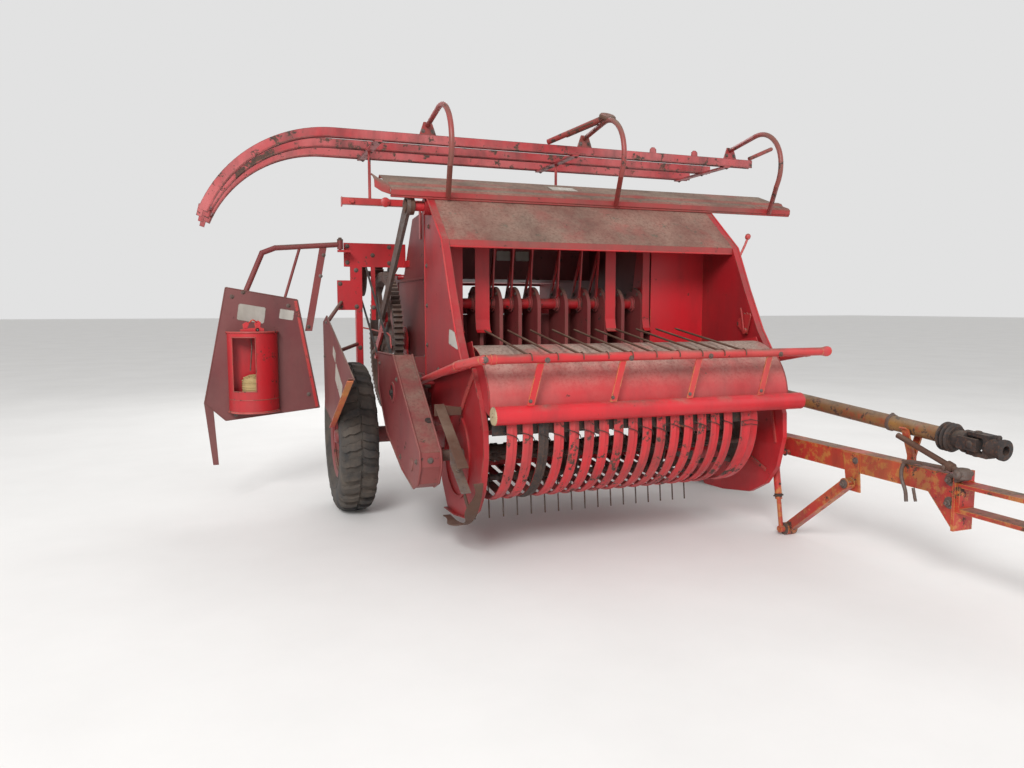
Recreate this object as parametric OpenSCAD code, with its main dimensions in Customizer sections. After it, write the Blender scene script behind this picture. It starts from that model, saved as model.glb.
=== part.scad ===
// Pick-up baler for low density square bales, parked with its bale slide stored crosswise on top.
// X runs across the machine, Y runs from the drawbar back to the bale outlet, Z is up from the ground.

/* [Hood] */
// Width over the two hood side sheets
hood_w = 1550; // [1400:10:1700]
// Thickness of sheet panels
sheet = 4; // [3:0.5:6]
// Width of the outward flange along the front edge of a hood side
hood_flange = 34; // [20:1:45]
// Height of the folded lip under the front edge of the hood
lip_h = 32; // [15:1:50]

/* [Bale chamber] */
// Distance from the left hood side in to the chamber wall
chamber_step = 75; // [60:5:130]
// Outer face of the right chamber wall, from the middle of the machine
chamber_right = 445; // [400:5:520]
// Height of the chamber floor above the ground
floor_z = 860; // [800:5:865]
// Height of the chamber roof above the ground
roof_z = 1290; // [1200:5:1300]
// Rear end of the chamber walls
chamber_end = 2300; // [2150:10:2400]
// Thickness of the chamber walls
wall_t = 5; // [4:1:8]
// Length of the hinged density flap
flap_len = 310; // [250:10:400]

/* [Pick-up] */
// Distance between neighbouring stripper bands
band_pitch = 70; // [66:1:74]
// Width of one stripper band
band_w = 45; // [35:1:50]
// Number of narrow stripper bands
band_n = 16; // [12:1:16]
// Outer radius of the stripper bands
band_r = 318; // [300:1:322]
// Width of the wide band at the right end
wide_band_w = 90; // [70:1:110]
// Radius reached by the tips of the tines
tine_r = 305; // [280:1:310]
// Wire diameter of the tines
tine_d = 7; // [6:0.5:9]
// Diameter of the pick-up shaft
reel_shaft_d = 50; // [40:1:60]

/* [Crop guard] */
// Diameter of the red guard tube and its side arms
guard_d = 38; // [30:1:42]
// Diameter of the brown hold-down rods
rod_d = 10; // [8:1:12]
// Number of hold-down rods
rod_n = 10; // [6:1:11]
// Radius of the rounded press bar
press_r = 38; // [30:1:40]

/* [Wheels] */
// Outer diameter of the tyres
tyre_d = 820; // [780:5:840]
// Width of the tyres
tyre_w = 200; // [170:5:220]
// Diameter of the wheel rims
rim_d = 406; // [380:2:430]
// Diameter of the axle stubs
stub_d = 44; // [36:1:50]
// Diameter of the axle tube
axle_d = 90; // [70:1:110]

/* [Drive] */
// Pitch radius of the large gear wheel
gear_r = 400; // [390:1:410]
// Number of teeth on the large gear wheel
gear_teeth = 80; // [60:1:100]
// Number of teeth on the pinion
pinion_teeth = 14; // [12:1:18]
// Width of the gear rim
gear_w = 50; // [40:1:60]
// Radius of the upper belt pulley
pulley_r = 140; // [120:1:150]
// Radius of the lower belt pulley
low_pulley_r = 110; // [95:1:125]
// Crank radius of the ram drive
crank_r = 131; // [120:1:140]
// Diameter of the cross shaft under the chamber
cross_d = 40; // [30:1:44]

/* [Drawbar] */
// Width of the drawbar beam
beam_w = 80; // [60:1:80]
// Height of the drawbar beam
beam_h = 90; // [80:1:100]
// Distance from the right hood side out to the middle of the drawbar
beam_out = 150; // [135:5:180]
// Diameter of the hitch pin hole
hitch_bore = 26; // [20:1:32]
// Width of the flat tongue bars
tongue_w = 80; // [60:1:90]
// Diameter of the drive shaft tube
pto_d = 64; // [55:1:70]

/* [Bale slide] */
// Height of the slide rails above the ground
rail_z = 2010; // [1950:5:2050]
// Bend radius of the curved rail ends
rail_bend = 700; // [600:10:800]
// Height of the rail section
rail_h = 44; // [30:1:50]
// Distance between the outer rails
rail_gap = 520; // [450:10:560]
// Diameter of the hoops
hoop_d = 26; // [20:1:32]

/* [Hidden] */
$fn = 48;
eps = 0.05;
fit = 0.05;
seat = 0.3;
move_gap = 6;
hood_x = hood_w / 2;
pick_x = hood_x - 30;
pick_flange = 20;
inner_x = hood_x - sheet;
chamber_left = hood_x - chamber_step;
beam_x = hood_x + beam_out;

// Hinge axes and shaft centres, each as y, z
pivot = [930, 720];
reel_c = [340, 455];
guard_pivot = [840, 737];
ram_pivot = [750, 1610];
gear_c = [1650, 920];
pinion_r = gear_r * pinion_teeth / gear_teeth;
shaft_dy = 230;
pinion_c = [gear_c[0] + shaft_dy, gear_c[1] + sqrt(pow(gear_r + pinion_r, 2) - pow(shaft_dy, 2))];
flap_hinge = [2025, roof_z + 18];
axle_c = [1300, tyre_d / 2];
band_c = [242, 592];

// Places across the machine
belt_x = -hood_x - 163;
gear_x = -chamber_left - 160;
lever_x = gear_x - 42;
wheel_left_x = -hood_x - 335;
wheel_right_x = hood_x + 395;
stand_x = beam_x - 75;
strut_x = beam_x - 120;
arm_x = hood_x + 63;
frame_left = -hood_x - 25;
door_x = -hood_x - 325;
door_y = 1600;

// Ends of the whole machine, used to centre it on the origin
door_tip = -766;
door_tip_x = door_x + door_tip;
lever_d = 24;
lever_tip_x = 1450;
tongue_tip_y = -1640;
flap_tip_y = flap_hinge[0] + flap_len + 12;
mid_x = (door_tip_x + lever_tip_x + lever_d / 2) / 2;
mid_y = (tongue_tip_y + flap_tip_y) / 2;

red = [0.72, 0.10, 0.11];
dark_red = [0.45, 0.08, 0.09];
dusty = [0.55, 0.42, 0.40];
grey = [0.45, 0.43, 0.42];
rust = [0.40, 0.26, 0.18];
black = [0.08, 0.08, 0.08];
yellow = [0.60, 0.42, 0.14];

// Moves the machine so that the middle of its box is over the origin
module machine() {
    translate([-mid_x, -mid_y, 0]) children();
}

// A round bar along X
module xbar(x0, x1, y, z, d) {
    translate([x0, y, z]) rotate([0, 90, 0]) cylinder(d = d, h = x1 - x0);
}

// A round bar along Y
module ybar(y0, y1, x, z, d) {
    translate([x, y0, z]) rotate([-90, 0, 0]) cylinder(d = d, h = y1 - y0);
}

// A round bar from point a to point b
module bar(a, b, d) {
    v = b - a;
    len = norm(v);
    translate(a) rotate([0, acos(v[2] / len), atan2(v[1], v[0])]) cylinder(d = d, h = len);
}

// A run of round bars through a list of points, with a ball at each bend
module bent_bar(points, d) {
    for (i = [0 : len(points) - 2]) {
        bar(points[i], points[i + 1], d);
    }
    for (i = [1 : len(points) - 2]) {
        translate(points[i]) sphere(d = d + 1);
    }
}

// A block between two corners
module block(a, b) {
    translate(a) cube(b - a);
}

// Extrudes an outline drawn in y and z, from x0 over the thickness t
module side(x0, t) {
    translate([x0, 0, 0]) rotate([90, 0, 90]) linear_extrude(t) children();
}

// Extrudes an outline drawn in x and z, from y0 over the thickness t
module front(y0, t) {
    translate([0, y0 + t, 0]) rotate([90, 0, 0]) linear_extrude(t) children();
}

// Unit vector from a to b, and its left-hand normal
function unit(a, b) = (b - a) / norm(b - a);
function left_of(v) = [-v[1], v[0]];

// Shifts a polyline sideways by t
function shifted(p, t) = [
    for (i = [0 : len(p) - 1])
        let (u = i == 0 ? unit(p[0], p[1]) : unit(p[i - 1], p[i]))
        let (w = i == len(p) - 1 ? u : unit(p[i], p[i + 1]))
        let (m = left_of(u) + left_of(w))
        p[i] + m * (2 * t / (m * m))
];

// Closes a strip of thickness t along a polyline
function strip(p, t) = concat(p, [for (i = [len(p) - 1 : -1 : 0]) shifted(p, t)[i]]);

// A strip of thickness t along a polyline, in two dimensions
module strip_2d(p, t) {
    polygon(strip(p, t));
}

// Front edge of a hood side from its lower corner to the top, as y, z
hood_edge = [[121, 868], [227, 1007], [340, 1210], [451, 1431], [703, 1641]];
hood_rear_y = 890;
hood_rear_z = 1682;
hood_low_z = 760;

// Front and lower edge of a pick-up side from its top to its rear, as y, z
pick_edge = [[121, 862], [35, 741], [-19, 617], [-25, 501], [15, 350], [90, 254], [210, 186],
    [435, 150], [605, 142]];

// Outline of a hood side sheet
module hood_outline() {
    polygon(concat(hood_edge, [[hood_rear_y, hood_rear_z], [hood_rear_y, hood_low_z]]));
}

// One hood side, drawn for the right-hand end
module hood_side_shape() {
    difference() {
        side(inner_x, sheet) hood_outline();
        xbar(inner_x - 5, hood_x + 5, ram_pivot[0], ram_pivot[1], 46 + 2 * move_gap);
    }
    side(hood_x, hood_flange) strip_2d(hood_edge, -sheet);
}

module hood_side_left() {
    machine() color(red) {
        mirror([1, 0, 0]) hood_side_shape();
        difference() {
            xbar(-hood_x - 40, -hood_x, ram_pivot[0], ram_pivot[1], 80);
            xbar(-hood_x - 50, -hood_x + 5, ram_pivot[0], ram_pivot[1], 46 + 2 * fit);
        }
    }
}

module hood_side_right() {
    machine() color(red) hood_side_shape();
}

module hood_top() {
    top_edge = [[451, 1431], [703, 1641], [hood_rear_y, hood_rear_z]];
    machine() color(dusty) {
        side(-inner_x, 2 * inner_x) strip_2d(top_edge, -sheet);
        side(-inner_x, 2 * inner_x) strip_2d([[451, 1431 - lip_h], [451, 1431]], -sheet);
    }
}

module feed_panel() {
    machine() color(red) block([chamber_right - wall_t, 712, 905], [inner_x, 712 + sheet, 1618]);
}

// Strips that hang behind the lip, as middle x and width
strip_table = [[-660, 60], [-528, 75], [190, 60], [405, 42]];

module feed_strips() {
    strip_line = [[690, 1600], [703, 1500], [706, 1300], [704, 1060], [692, 1010], [672, 997]];
    machine() color(red) {
        for (s = strip_table) {
            side(s[0] - s[1] / 2, s[1]) strip_2d(strip_line, sheet);
        }
        block([-inner_x, 690, 1596], [inner_x, 712, 1618]);
    }
}

// Outline of a chamber wall behind the line y0
module wall_outline(y0) {
    polygon([[y0, 820], [chamber_end, 820], [chamber_end, roof_z], [1740, roof_z], [1480, 1630], [890, 1668],
        [y0, 1630]]);
}

// Diameter of the bosses that carry the needle arms
needle_hub_d = 110;

module chamber_wall_left() {
    machine() color(dark_red) {
        difference() {
            side(-chamber_left, wall_t) wall_outline(712);
            xbar(-chamber_left - 5, -chamber_left + wall_t + 5, ram_pivot[0], ram_pivot[1], 46 + 2 * move_gap);
        }
        xbar(-chamber_left - 60, -chamber_left, gear_c[0], gear_c[1], needle_hub_d);
        xbar(gear_x - 4, -chamber_left - 59, gear_c[0], gear_c[1], 50);
    }
}

module chamber_wall_right() {
    machine() color(dark_red) {
        difference() {
            union() {
                side(chamber_right - wall_t, wall_t) wall_outline(712 + sheet);
                side(chamber_right - 1, 36) polygon([[720, 1560], [800, 1560], [800, 1640], [720, 1628]]);
            }
            xbar(chamber_right - 20, chamber_right + 60, ram_pivot[0], ram_pivot[1], 46 + 2 * fit);
        }
        xbar(chamber_right - 1, chamber_right + 50, gear_c[0], gear_c[1], needle_hub_d);
    }
}

needle_x = [-420, 180];
needle_r = 480;
needle_root = -123;
needle_tip = -20;

module chamber_floor() {
    inner_left = -chamber_left + wall_t;
    inner_right = chamber_right - wall_t;
    machine() color(grey) {
        difference() {
            block([inner_left, 690, floor_z - wall_t], [inner_right, chamber_end, floor_z]);
            for (x = needle_x) {
                block([x - 20, 2085, floor_z - 20], [x + 20, 2165, floor_z + 20]);
            }
        }
        block([-pick_x + sheet + 6, 290, floor_z - sheet], [pick_x - sheet - 6, 690, floor_z]);
    }
}

module chamber_roof() {
    inner_left = -chamber_left + wall_t;
    inner_right = chamber_right - wall_t;
    machine() color(dark_red) {
        difference() {
            block([inner_left, 1480, roof_z], [inner_right, 2000, roof_z + wall_t]);
            for (x = needle_x) {
                block([x - 20, 1700, roof_z - 20], [x + 20, 1995, roof_z + 40]);
            }
        }
        for (x = [inner_left, inner_right - wall_t]) {
            side(x, wall_t) polygon([[1940, roof_z + wall_t - 1], [1999, roof_z + wall_t - 1], [flap_hinge[0] + 12, roof_z + 8],
                [flap_hinge[0] + 12, roof_z + 28], [flap_hinge[0] - 6, roof_z + 34], [1940, roof_z + 34]]);
        }
        xbar(inner_left, inner_right, flap_hinge[0], flap_hinge[1], flap_pin);
        side(inner_left, inner_right - inner_left) strip_2d([[1480 - sheet, roof_z], [1480 - sheet, 1630],
            [895, 1668]], -sheet);
    }
}

// Pin of the density flap's hinge
flap_pin = 16;

module density_flap() {
    x0 = -chamber_left + wall_t + move_gap;
    x1 = chamber_right - wall_t - move_gap;
    machine() color(red) {
        block([x0, flap_hinge[0] + 12, roof_z], [x1, flap_tip_y, roof_z + wall_t]);
        for (x = [x0, (x0 + x1) / 2 - 20, x1 - 40]) {
            block([x, flap_hinge[0] + 12, roof_z + wall_t], [x + 40, flap_tip_y - 20, roof_z + 46]);
        }
        difference() {
            union() {
                xbar(x0, x1, flap_hinge[0], flap_hinge[1], 30);
                block([x0, flap_hinge[0], roof_z], [x1, flap_hinge[0] + 14, roof_z + 14]);
            }
            xbar(x0 - 1, x1 + 1, flap_hinge[0], flap_hinge[1], flap_pin + 2 * fit);
        }
    }
}

module knotters() {
    kz = roof_z + wall_t;
    machine() color(red) {
        for (x = needle_x) {
            for (dx = [30, 130]) {
                side(x + dx, 10) polygon([[1700, kz], [1900, kz], [1880, kz + 150], [1780, kz + 230], [1710, kz + 120]]);
            }
            xbar(x + 39, x + 131, 1790, kz + 120, 150);
            xbar(x + 39, x + 131, 1860, kz + 40, 50);
        }
        xbar(needle_x[0] + 20, needle_x[1] + 200, 1790, kz + 120, 34);
        for (x = [needle_x[0] - 70, needle_x[1] + 200]) {
            side(x, 10) polygon([[1730, kz], [1850, kz], [1830, kz + 150], [1750, kz + 150]]);
        }
        xbar(needle_x[0] - 65, needle_x[0] + 31, 1790, kz + 120, 34);
    }
}

module needle_yoke() {
    dir = [cos(needle_root), sin(needle_root)];
    root = gear_c + needle_r * dir;
    across = 32 * left_of(dir);
    arms = [-chamber_left - 22, chamber_right + 12];
    machine() color(red) {
        xbar(arms[0], arms[1] + 10, root[0], root[1], 40);
        for (x = arms) {
            side(x, 10) difference() {
                union() {
                    polygon([gear_c - across, gear_c + across, root + across, root - across]);
                    translate(gear_c) circle(d = needle_hub_d + 60);
                }
                translate(gear_c) circle(d = needle_hub_d + 2 * fit);
            }
        }
        for (x = needle_x) {
            translate([x - 8, gear_c[0], gear_c[1]]) rotate([90, 0, 90]) rotate([0, 0, needle_root])
                rotate_extrude(angle = needle_tip - needle_root, $fn = 72) translate([needle_r - 16, 0]) square([32, 16]);
        }
    }
}

// Left face of each arched plate of the swinging ram
ram_plate_x = [-538, -433, -330, -224, -69, 61, 161, 264, 382];
ram_tube = [820, 1140];
ram_left = -chamber_left + 60;
ram_right = chamber_right - wall_t - 12;

// Outline of an arched plate, drawn grow larger
module arch_2d(grow) {
    centre = [825, ram_tube[1] - 20];
    low = floor_z + 10;
    union() {
        translate(centre) circle(r = 108 + grow);
        translate([centre[0] - 108 - grow, low]) square([2 * (108 + grow), centre[1] - low]);
    }
}

module ram_frame() {
    top = ram_pivot[1] - 18;
    machine() color(red) {
        xbar(lever_x - 3, chamber_right + 30, ram_pivot[0], ram_pivot[1], 46);
        difference() {
            xbar(ram_left, ram_right, ram_tube[0], ram_tube[1], 55);
            xbar(ram_left - 1, ram_right + 1, ram_tube[0], ram_tube[1], 43);
        }
        for (i = [1 : 6]) {
            side(ram_plate_x[i] - 10, 8) polygon([[752, top], [772, top], [823, 1150], [803, 1150]]);
            side(ram_plate_x[i] + 22, 8) polygon([[756, top], [776, top], [1010, 1130], [990, 1122]]);
        }
        for (x = [ram_left, ram_right - 16]) {
            side(x, 16) polygon([[722, ram_pivot[1]], [724, top + 34], [776, top + 34], [785, ram_pivot[1]], [880, 1140],
                [860, 1110], [790, 1110]]);
        }
        block([ram_left, 985, 1085], [ram_right, 1015, 1130]);
    }
}

module ram_plates() {
    machine() color(dark_red) {
        for (x = ram_plate_x) {
            difference() {
                union() {
                    side(x, 6) arch_2d(0);
                    side(x + 5, 14) arch_2d(0);
                }
                side(x + 6, 20) arch_2d(-6);
                xbar(x - 10, x + 30, ram_tube[0], ram_tube[1], 55 + 2 * seat);
            }
        }
        block([ram_left, 933 + seat, floor_z + 12], [ram_right, 941, 1084]);
    }
}

lever_low = [1438, 1065];

module ram_lever() {
    n = left_of(unit(ram_pivot, lever_low));
    machine() color(grey) side(lever_x, 16) difference() {
        union() {
            polygon([ram_pivot + 42 * n, ram_pivot - 42 * n, lever_low - 28 * n, lever_low + 28 * n]);
            translate(ram_pivot) circle(d = 96);
            translate(lever_low) circle(d = 64);
        }
        translate(ram_pivot) circle(d = 46);
        translate(lever_low) circle(d = 30);
    }
}

// Radial depth of the gear teeth, and the direction from the gear wheel to its pinion
tooth_depth = 22;
mesh_angle = atan2(pinion_c[1] - gear_c[1], pinion_c[0] - gear_c[0]);

// Simple gear outline: teeth as trapezoids on a disc
module gear_2d(r, n) {
    pitch = 2 * PI * r / n;
    circle(r = r - 0.6 * tooth_depth);
    for (i = [0 : n - 1]) {
        rotate(i * 360 / n) polygon([[r - 0.7 * tooth_depth, -pitch * 0.3], [r + 0.45 * tooth_depth, -pitch * 0.12],
            [r + 0.45 * tooth_depth, pitch * 0.12], [r - 0.7 * tooth_depth, pitch * 0.3]]);
    }
}

crank_dir = unit(lever_low, gear_c);
crank_pin = gear_c + crank_r * crank_dir;

module gear_wheel() {
    machine() color(grey) {
        side(gear_x, gear_w) translate(gear_c) difference() {
            rotate(mesh_angle + 180 / gear_teeth) gear_2d(gear_r, gear_teeth);
            circle(r = gear_r - 42);
        }
        side(gear_x + 15, gear_w - 30) translate(gear_c) difference() {
            union() {
                for (a = [0 : 60 : 300]) {
                    rotate(a) translate([0, -18]) square([gear_r - 41, 36]);
                }
                circle(r = crank_r + 45);
            }
            circle(d = 50 + 2 * fit);
        }
        difference() {
            xbar(gear_x, gear_x + gear_w, gear_c[0], gear_c[1], 120);
            xbar(gear_x - 50, gear_x + gear_w + 5, gear_c[0], gear_c[1], 50 + 2 * fit);
        }
        xbar(gear_x - 22, gear_x + 20, crank_pin[0], crank_pin[1], 40);
        xbar(gear_x, gear_x + gear_w - 10, crank_pin[0], crank_pin[1], 90);
    }
}

module pitman() {
    n = left_of(unit(crank_pin, lever_low));
    machine() color(red) side(gear_x - 20, 14) difference() {
        union() {
            polygon([crank_pin + 26 * n, crank_pin - 26 * n, lever_low - 24 * n, lever_low + 24 * n]);
            translate(crank_pin) circle(d = 84);
            translate(lever_low) circle(d = 64);
        }
        translate(crank_pin) circle(d = 40 + 2 * fit);
        translate(lever_low) circle(d = 30);
    }
}

module pinion_shaft() {
    machine() color(grey) {
        xbar(belt_x - 30, -chamber_left - 26, pinion_c[0], pinion_c[1], 36);
        side(gear_x - 2, gear_w + 4) translate(pinion_c) rotate(mesh_angle + 180)
            gear_2d(pinion_r, pinion_teeth);
    }
}

// A grooved pulley turned about X
module pulley(x, c, r, bore) {
    translate([x, c[0], c[1]]) rotate([0, 90, 0]) rotate_extrude($fn = 64) difference() {
        union() {
            translate([r - 40, -16]) square([40, 32]);
            translate([bore / 2, -8]) square([r - 41, 16]);
            translate([bore / 2, -22]) square([24, 44]);
        }
        polygon([[r - 16, -5], [r - 16, 5], [r + 1, 10], [r + 1, -10]]);
    }
}

module belt_pulley() {
    machine() color(grey) pulley(belt_x, pinion_c, pulley_r, 36);
}

module cross_shaft() {
    machine() color(grey) {
        xbar(belt_x - 30, beam_x - 62, pivot[0], pivot[1], cross_d);
        pulley(belt_x, pivot, low_pulley_r, cross_d);
    }
}

// The belt as one loop that lies in both grooves
module v_belt() {
    dy = pinion_c[0] - pivot[0];
    dz = pinion_c[1] - pivot[1];
    span = norm([dy, dz]);
    tilt = atan2(dz, dy);
    r_up = pulley_r - 2;
    r_low = low_pulley_r - 2;
    lean = asin((r_up - r_low) / span);
    module loop(grow) {
        hull() {
            circle(r = r_low + grow, $fn = 40);
            translate([span, 0]) circle(r = r_up + grow, $fn = 40);
        }
    }
    machine() color(black) side(belt_x - 5, 10) translate(pivot) rotate(tilt) difference() {
        loop(0);
        loop(-10);
    }
}

bracket_y = 1670;

module drive_bracket() {
    t = 8;
    y0 = bracket_y;
    machine() color(red) {
        front(y0, t) {
            polygon([[door_x + 30, 1360], [door_x + 30, 1500], [-chamber_left - 8, 1500], [-chamber_left - 8, 1360]]);
            polygon([[door_x - 12, 1105], [door_x - 12, 1280], [door_x + 65, 1280], [door_x + 65, 1361],
                [door_x + 135, 1361], [door_x + 135, 1105]]);
            polygon([[gear_x - 52, 1361], [gear_x - 26, 1361], [gear_x - 26, 1045], [gear_x - 52, 1045]]);
        }
        block([-chamber_left - 8, y0, 1360], [-chamber_left, y0 + t, 1500]);
        block([-chamber_left - 6, 1560, 1360], [-chamber_left, y0, 1400]);
        difference() {
            union() {
                block([door_x + 98, y0, 420], [door_x + 135, y0 + 50, 1106]);
                block([door_x + 98, axle_c[0] + 20, 380], [door_x + 135, y0 + 50, 430]);
            }
            xbar(door_x + 90, door_x + 140, axle_c[0], axle_c[1], axle_d);
        }
        block([door_x - 15, door_y - 15, 1440], [door_x + 60, door_y + 15, 1452]);
        block([door_x + 30, door_y - 15, 1440], [door_x + 60, y0, 1452]);
        translate([door_x, door_y, 1451]) cylinder(d = 16, h = 61);
        difference() {
            union() {
                xbar(-chamber_left - 60, -chamber_left - 30, pinion_c[0], pinion_c[1], 80);
                side(-chamber_left - 60, 20) polygon([[y0 + t, 1365], [y0 + t, 1480], [pinion_c[0], pinion_c[1] + 39],
                    [pinion_c[0], pinion_c[1] - 39]]);
                block([-chamber_left - 60, y0 + t - 1, 1365], [-chamber_left, y0 + t + 20, 1400]);
            }
            xbar(-chamber_left - 70, -chamber_left - 2, pinion_c[0], pinion_c[1], 36 + 2 * fit);
        }
    }
}

module main_frame() {
    plate_top = floor_z - wall_t;
    axle_in = tyre_w / 2 - 44;
    machine() color(dark_red) {
        difference() {
            block([frame_left, 960, 520], [beam_x - beam_w / 2, 1040, 600]);
            block([frame_left - 10, 966, 526], [beam_x - beam_w / 2 + 10, 1034, 594]);
        }
        difference() {
            xbar(wheel_left_x + axle_in, wheel_right_x - axle_in, axle_c[0], axle_c[1], axle_d);
            xbar(wheel_left_x + 200, wheel_right_x - 200, axle_c[0], axle_c[1], axle_d - 16);
        }
        for (s = [[wheel_left_x - 60, wheel_left_x + 201], [wheel_right_x - 201, wheel_right_x + 60]]) {
            xbar(s[0], s[1], axle_c[0], axle_c[1], stub_d);
        }
        for (x = [-640, 400]) {
            side(x, 12) polygon([[1220, 340], [1380, 340], [1345, 480], [1300, plate_top], [960, plate_top],
                [960, 600], [1180, 520]]);
        }
        for (x = [frame_left, hood_x + 15]) {
            difference() {
                side(x, 14) polygon([[900, 600], [1040, 600], [1000, 780], [880, 780], [870, 680]]);
                xbar(x - 5, x + 20, pivot[0], pivot[1], cross_d + 2 * fit);
            }
        }
        block([frame_left, 1020, 600], [-chamber_left, 1040, 860]);
        block([chamber_right, 1020, 600], [hood_x + 29, 1040, 860]);
    }
}

beam_top = 475;

module drawbar() {
    x0 = beam_x - beam_w / 2;
    z0 = beam_top - beam_h;
    lug_y = 101;
    machine() color(red) {
        difference() {
            block([x0, -840, z0], [x0 + beam_w, axle_c[0] - axle_d / 2, beam_top]);
            block([x0 + 6, -850, z0 + 6], [x0 + beam_w - 6, axle_c[0] - axle_d / 2 - 6, beam_top - 6]);
        }
        block([x0, axle_c[0] - axle_d / 2 - 80, beam_top], [x0 + beam_w, axle_c[0] - axle_d / 2, beam_top + 6]);
        block([x0, 960, beam_top], [x0 + beam_w, 1040, 600]);
        block([x0 - 10, -850, 256], [x0 + beam_w + 10, -838, 490]);
        side(x0, 8) polygon([[-838, 256], [-838, z0], [-720, z0]]);
        difference() {
            side(x0 - 10, 10) polygon([[-375, 300], [-300, 300], [-270, 470], [-360, 470]]);
            xbar(x0 - 20, x0 + 5, -330, 335, 20);
        }
        xbar(stand_x - 22, x0, -330, 335, 20);
        xbar(strut_x + 21, x0, lug_y, 400, 20);
    }
}

module hitch_tongue() {
    machine() color(red) difference() {
        union() {
            for (z = [[430, 446], [330, 346]]) {
                block([beam_x - tongue_w / 2, tongue_tip_y + tongue_w / 2, z[0]], [beam_x + tongue_w / 2, -862, z[1]]);
                translate([beam_x, tongue_tip_y + tongue_w / 2, z[0]]) cylinder(d = tongue_w, h = z[1] - z[0]);
            }
            block([beam_x - tongue_w / 2, -1180, 346], [beam_x + tongue_w / 2, -1160, 430]);
            block([beam_x - tongue_w / 2, -862, 330], [beam_x + tongue_w / 2, -850, 446]);
        }
        translate([beam_x, tongue_tip_y + tongue_w / 2, 300]) cylinder(d = hitch_bore, h = 200);
    }
}

// Slope and a point of the drive shaft's axis
pto_front_y = -780;
pto_rear_y = 786;
pto_slope = 0.0625;
function pto_z(y) = 670 + pto_slope * (y - 152);
pto_axis_tilt = atan(pto_slope);
pto_len = (pto_rear_y - pto_front_y) / cos(pto_axis_tilt);

module shaft_cradle() {
    y0 = -615;
    cz = pto_z(-600);
    reach = pto_d / 2 + 8;
    machine() color(red) {
        front(y0, 34) {
            polygon([[beam_x - 8, beam_top], [beam_x + 8, beam_top], [beam_x + 8, 505], [beam_x + reach + 6, cz - 8],
                [beam_x + reach + 20, cz + 2], [beam_x + reach + 16, cz + 6], [beam_x + reach, cz - 4],
                [beam_x, 512], [beam_x - reach, cz - 4], [beam_x - reach - 16, cz + 6],
                [beam_x - reach - 20, cz + 2], [beam_x - reach - 6, cz - 8], [beam_x - 8, 505]]);
        }
    }
}

// Places its children on the drive shaft's axis, z forward from the point y0
module on_shaft(y0) {
    translate([beam_x, y0, pto_z(y0)]) rotate([90 + pto_axis_tilt, 0, 0]) children();
}

gearbox_y = 880;

module gearbox() {
    x0 = beam_x - 60;
    x1 = beam_x + 85;
    machine() color(dark_red) difference() {
        union() {
            block([x0, gearbox_y, 620], [x1, 1040, 820]);
            on_shaft(gearbox_y + 10) cylinder(d = 110, h = 60);
            block([x0 + 20, 960, 600], [x1 - 10, 1040, 621]);
        }
        xbar(x0 - 5, x1 - 10, pivot[0], pivot[1], cross_d + 2 * fit);
        on_shaft(gearbox_y + 20) cylinder(d = 40 + 2 * fit, h = 80);
    }
}

module pto_shaft() {
    machine() color(yellow) {
        difference() {
            on_shaft(pto_rear_y) cylinder(d = pto_d, h = pto_len);
            on_shaft(pto_rear_y - 60) cylinder(d = pto_d - 10, h = pto_len - 100);
        }
        on_shaft(gearbox_y + 15) cylinder(d = 40, h = gearbox_y + 16 - pto_rear_y);
    }
}

// Bore of the front yoke that slides on a tractor's splined shaft
spline_bore = 35;

module pto_yoke() {
    cross_z = 112;
    machine() color(black) on_shaft(pto_front_y - seat) {
        cylinder(d = 96, h = 24);
        translate([0, 0, 24]) cylinder(d = 72, h = 34);
        difference() {
            translate([-44, -24, 56]) cube([88, 48, 84]);
            translate([-30, -40, 74]) cube([60, 80, 80]);
        }
        translate([-43, 0, cross_z]) rotate([0, 90, 0]) cylinder(d = 27, h = 86);
        translate([0, 43, cross_z]) rotate([90, 0, 0]) cylinder(d = 27, h = 86);
        translate([0, 0, cross_z]) cube([40, 40, 30], center = true);
        difference() {
            union() {
                translate([-24, -44, cross_z - 26]) cube([48, 88, 86]);
                translate([0, 0, cross_z + 55]) cylinder(d = 70, h = 60);
            }
            translate([-40, -30, cross_z - 40]) cube([80, 60, 80]);
            translate([0, 0, cross_z]) cylinder(d = spline_bore, h = 130);
        }
    }
}

foot = [40, 30];
stand_pin = [-330, 335];

module stand_leg() {
    u = unit(stand_pin, foot);
    n = left_of(u);
    machine() color(red) {
        difference() {
            side(stand_x - 20, 40) union() {
                polygon([stand_pin + 22 * n, stand_pin - 22 * n, foot - 22 * n, foot + 22 * n]);
                translate(stand_pin) circle(r = 26);
            }
            side(stand_x - 15, 30) polygon([stand_pin - 40 * u + 40 * n, stand_pin - 40 * u - 17 * n,
                foot - 30 * u - 17 * n, foot - 30 * u + 40 * n]);
            xbar(stand_x - 30, stand_x + 30, stand_pin[0], stand_pin[1], 20 + 2 * fit);
        }
        xbar(stand_x - 26, stand_x + 26, foot[0], foot[1], 2 * foot[1]);
        xbar(strut_x - 20, stand_x - 25, foot[0], foot[1], 16);
    }
}

strut_top = [101, 384];

module stand_strut() {
    u = unit(foot, strut_top);
    a = [strut_x, foot[0], foot[1]];
    b = [strut_x, strut_top[0], strut_top[1]];
    mid = a + (b - a) * 0.42;
    machine() color(red) difference() {
        union() {
            bar(a, mid, 22);
            bar(mid - (b - a) * 0.01, b, 34);
            xbar(strut_x - 12, strut_x + 12, foot[0], foot[1], 34);
        }
        xbar(strut_x - 30, strut_x + 30, foot[0], foot[1], 16 + 2 * fit);
    }
}

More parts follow.
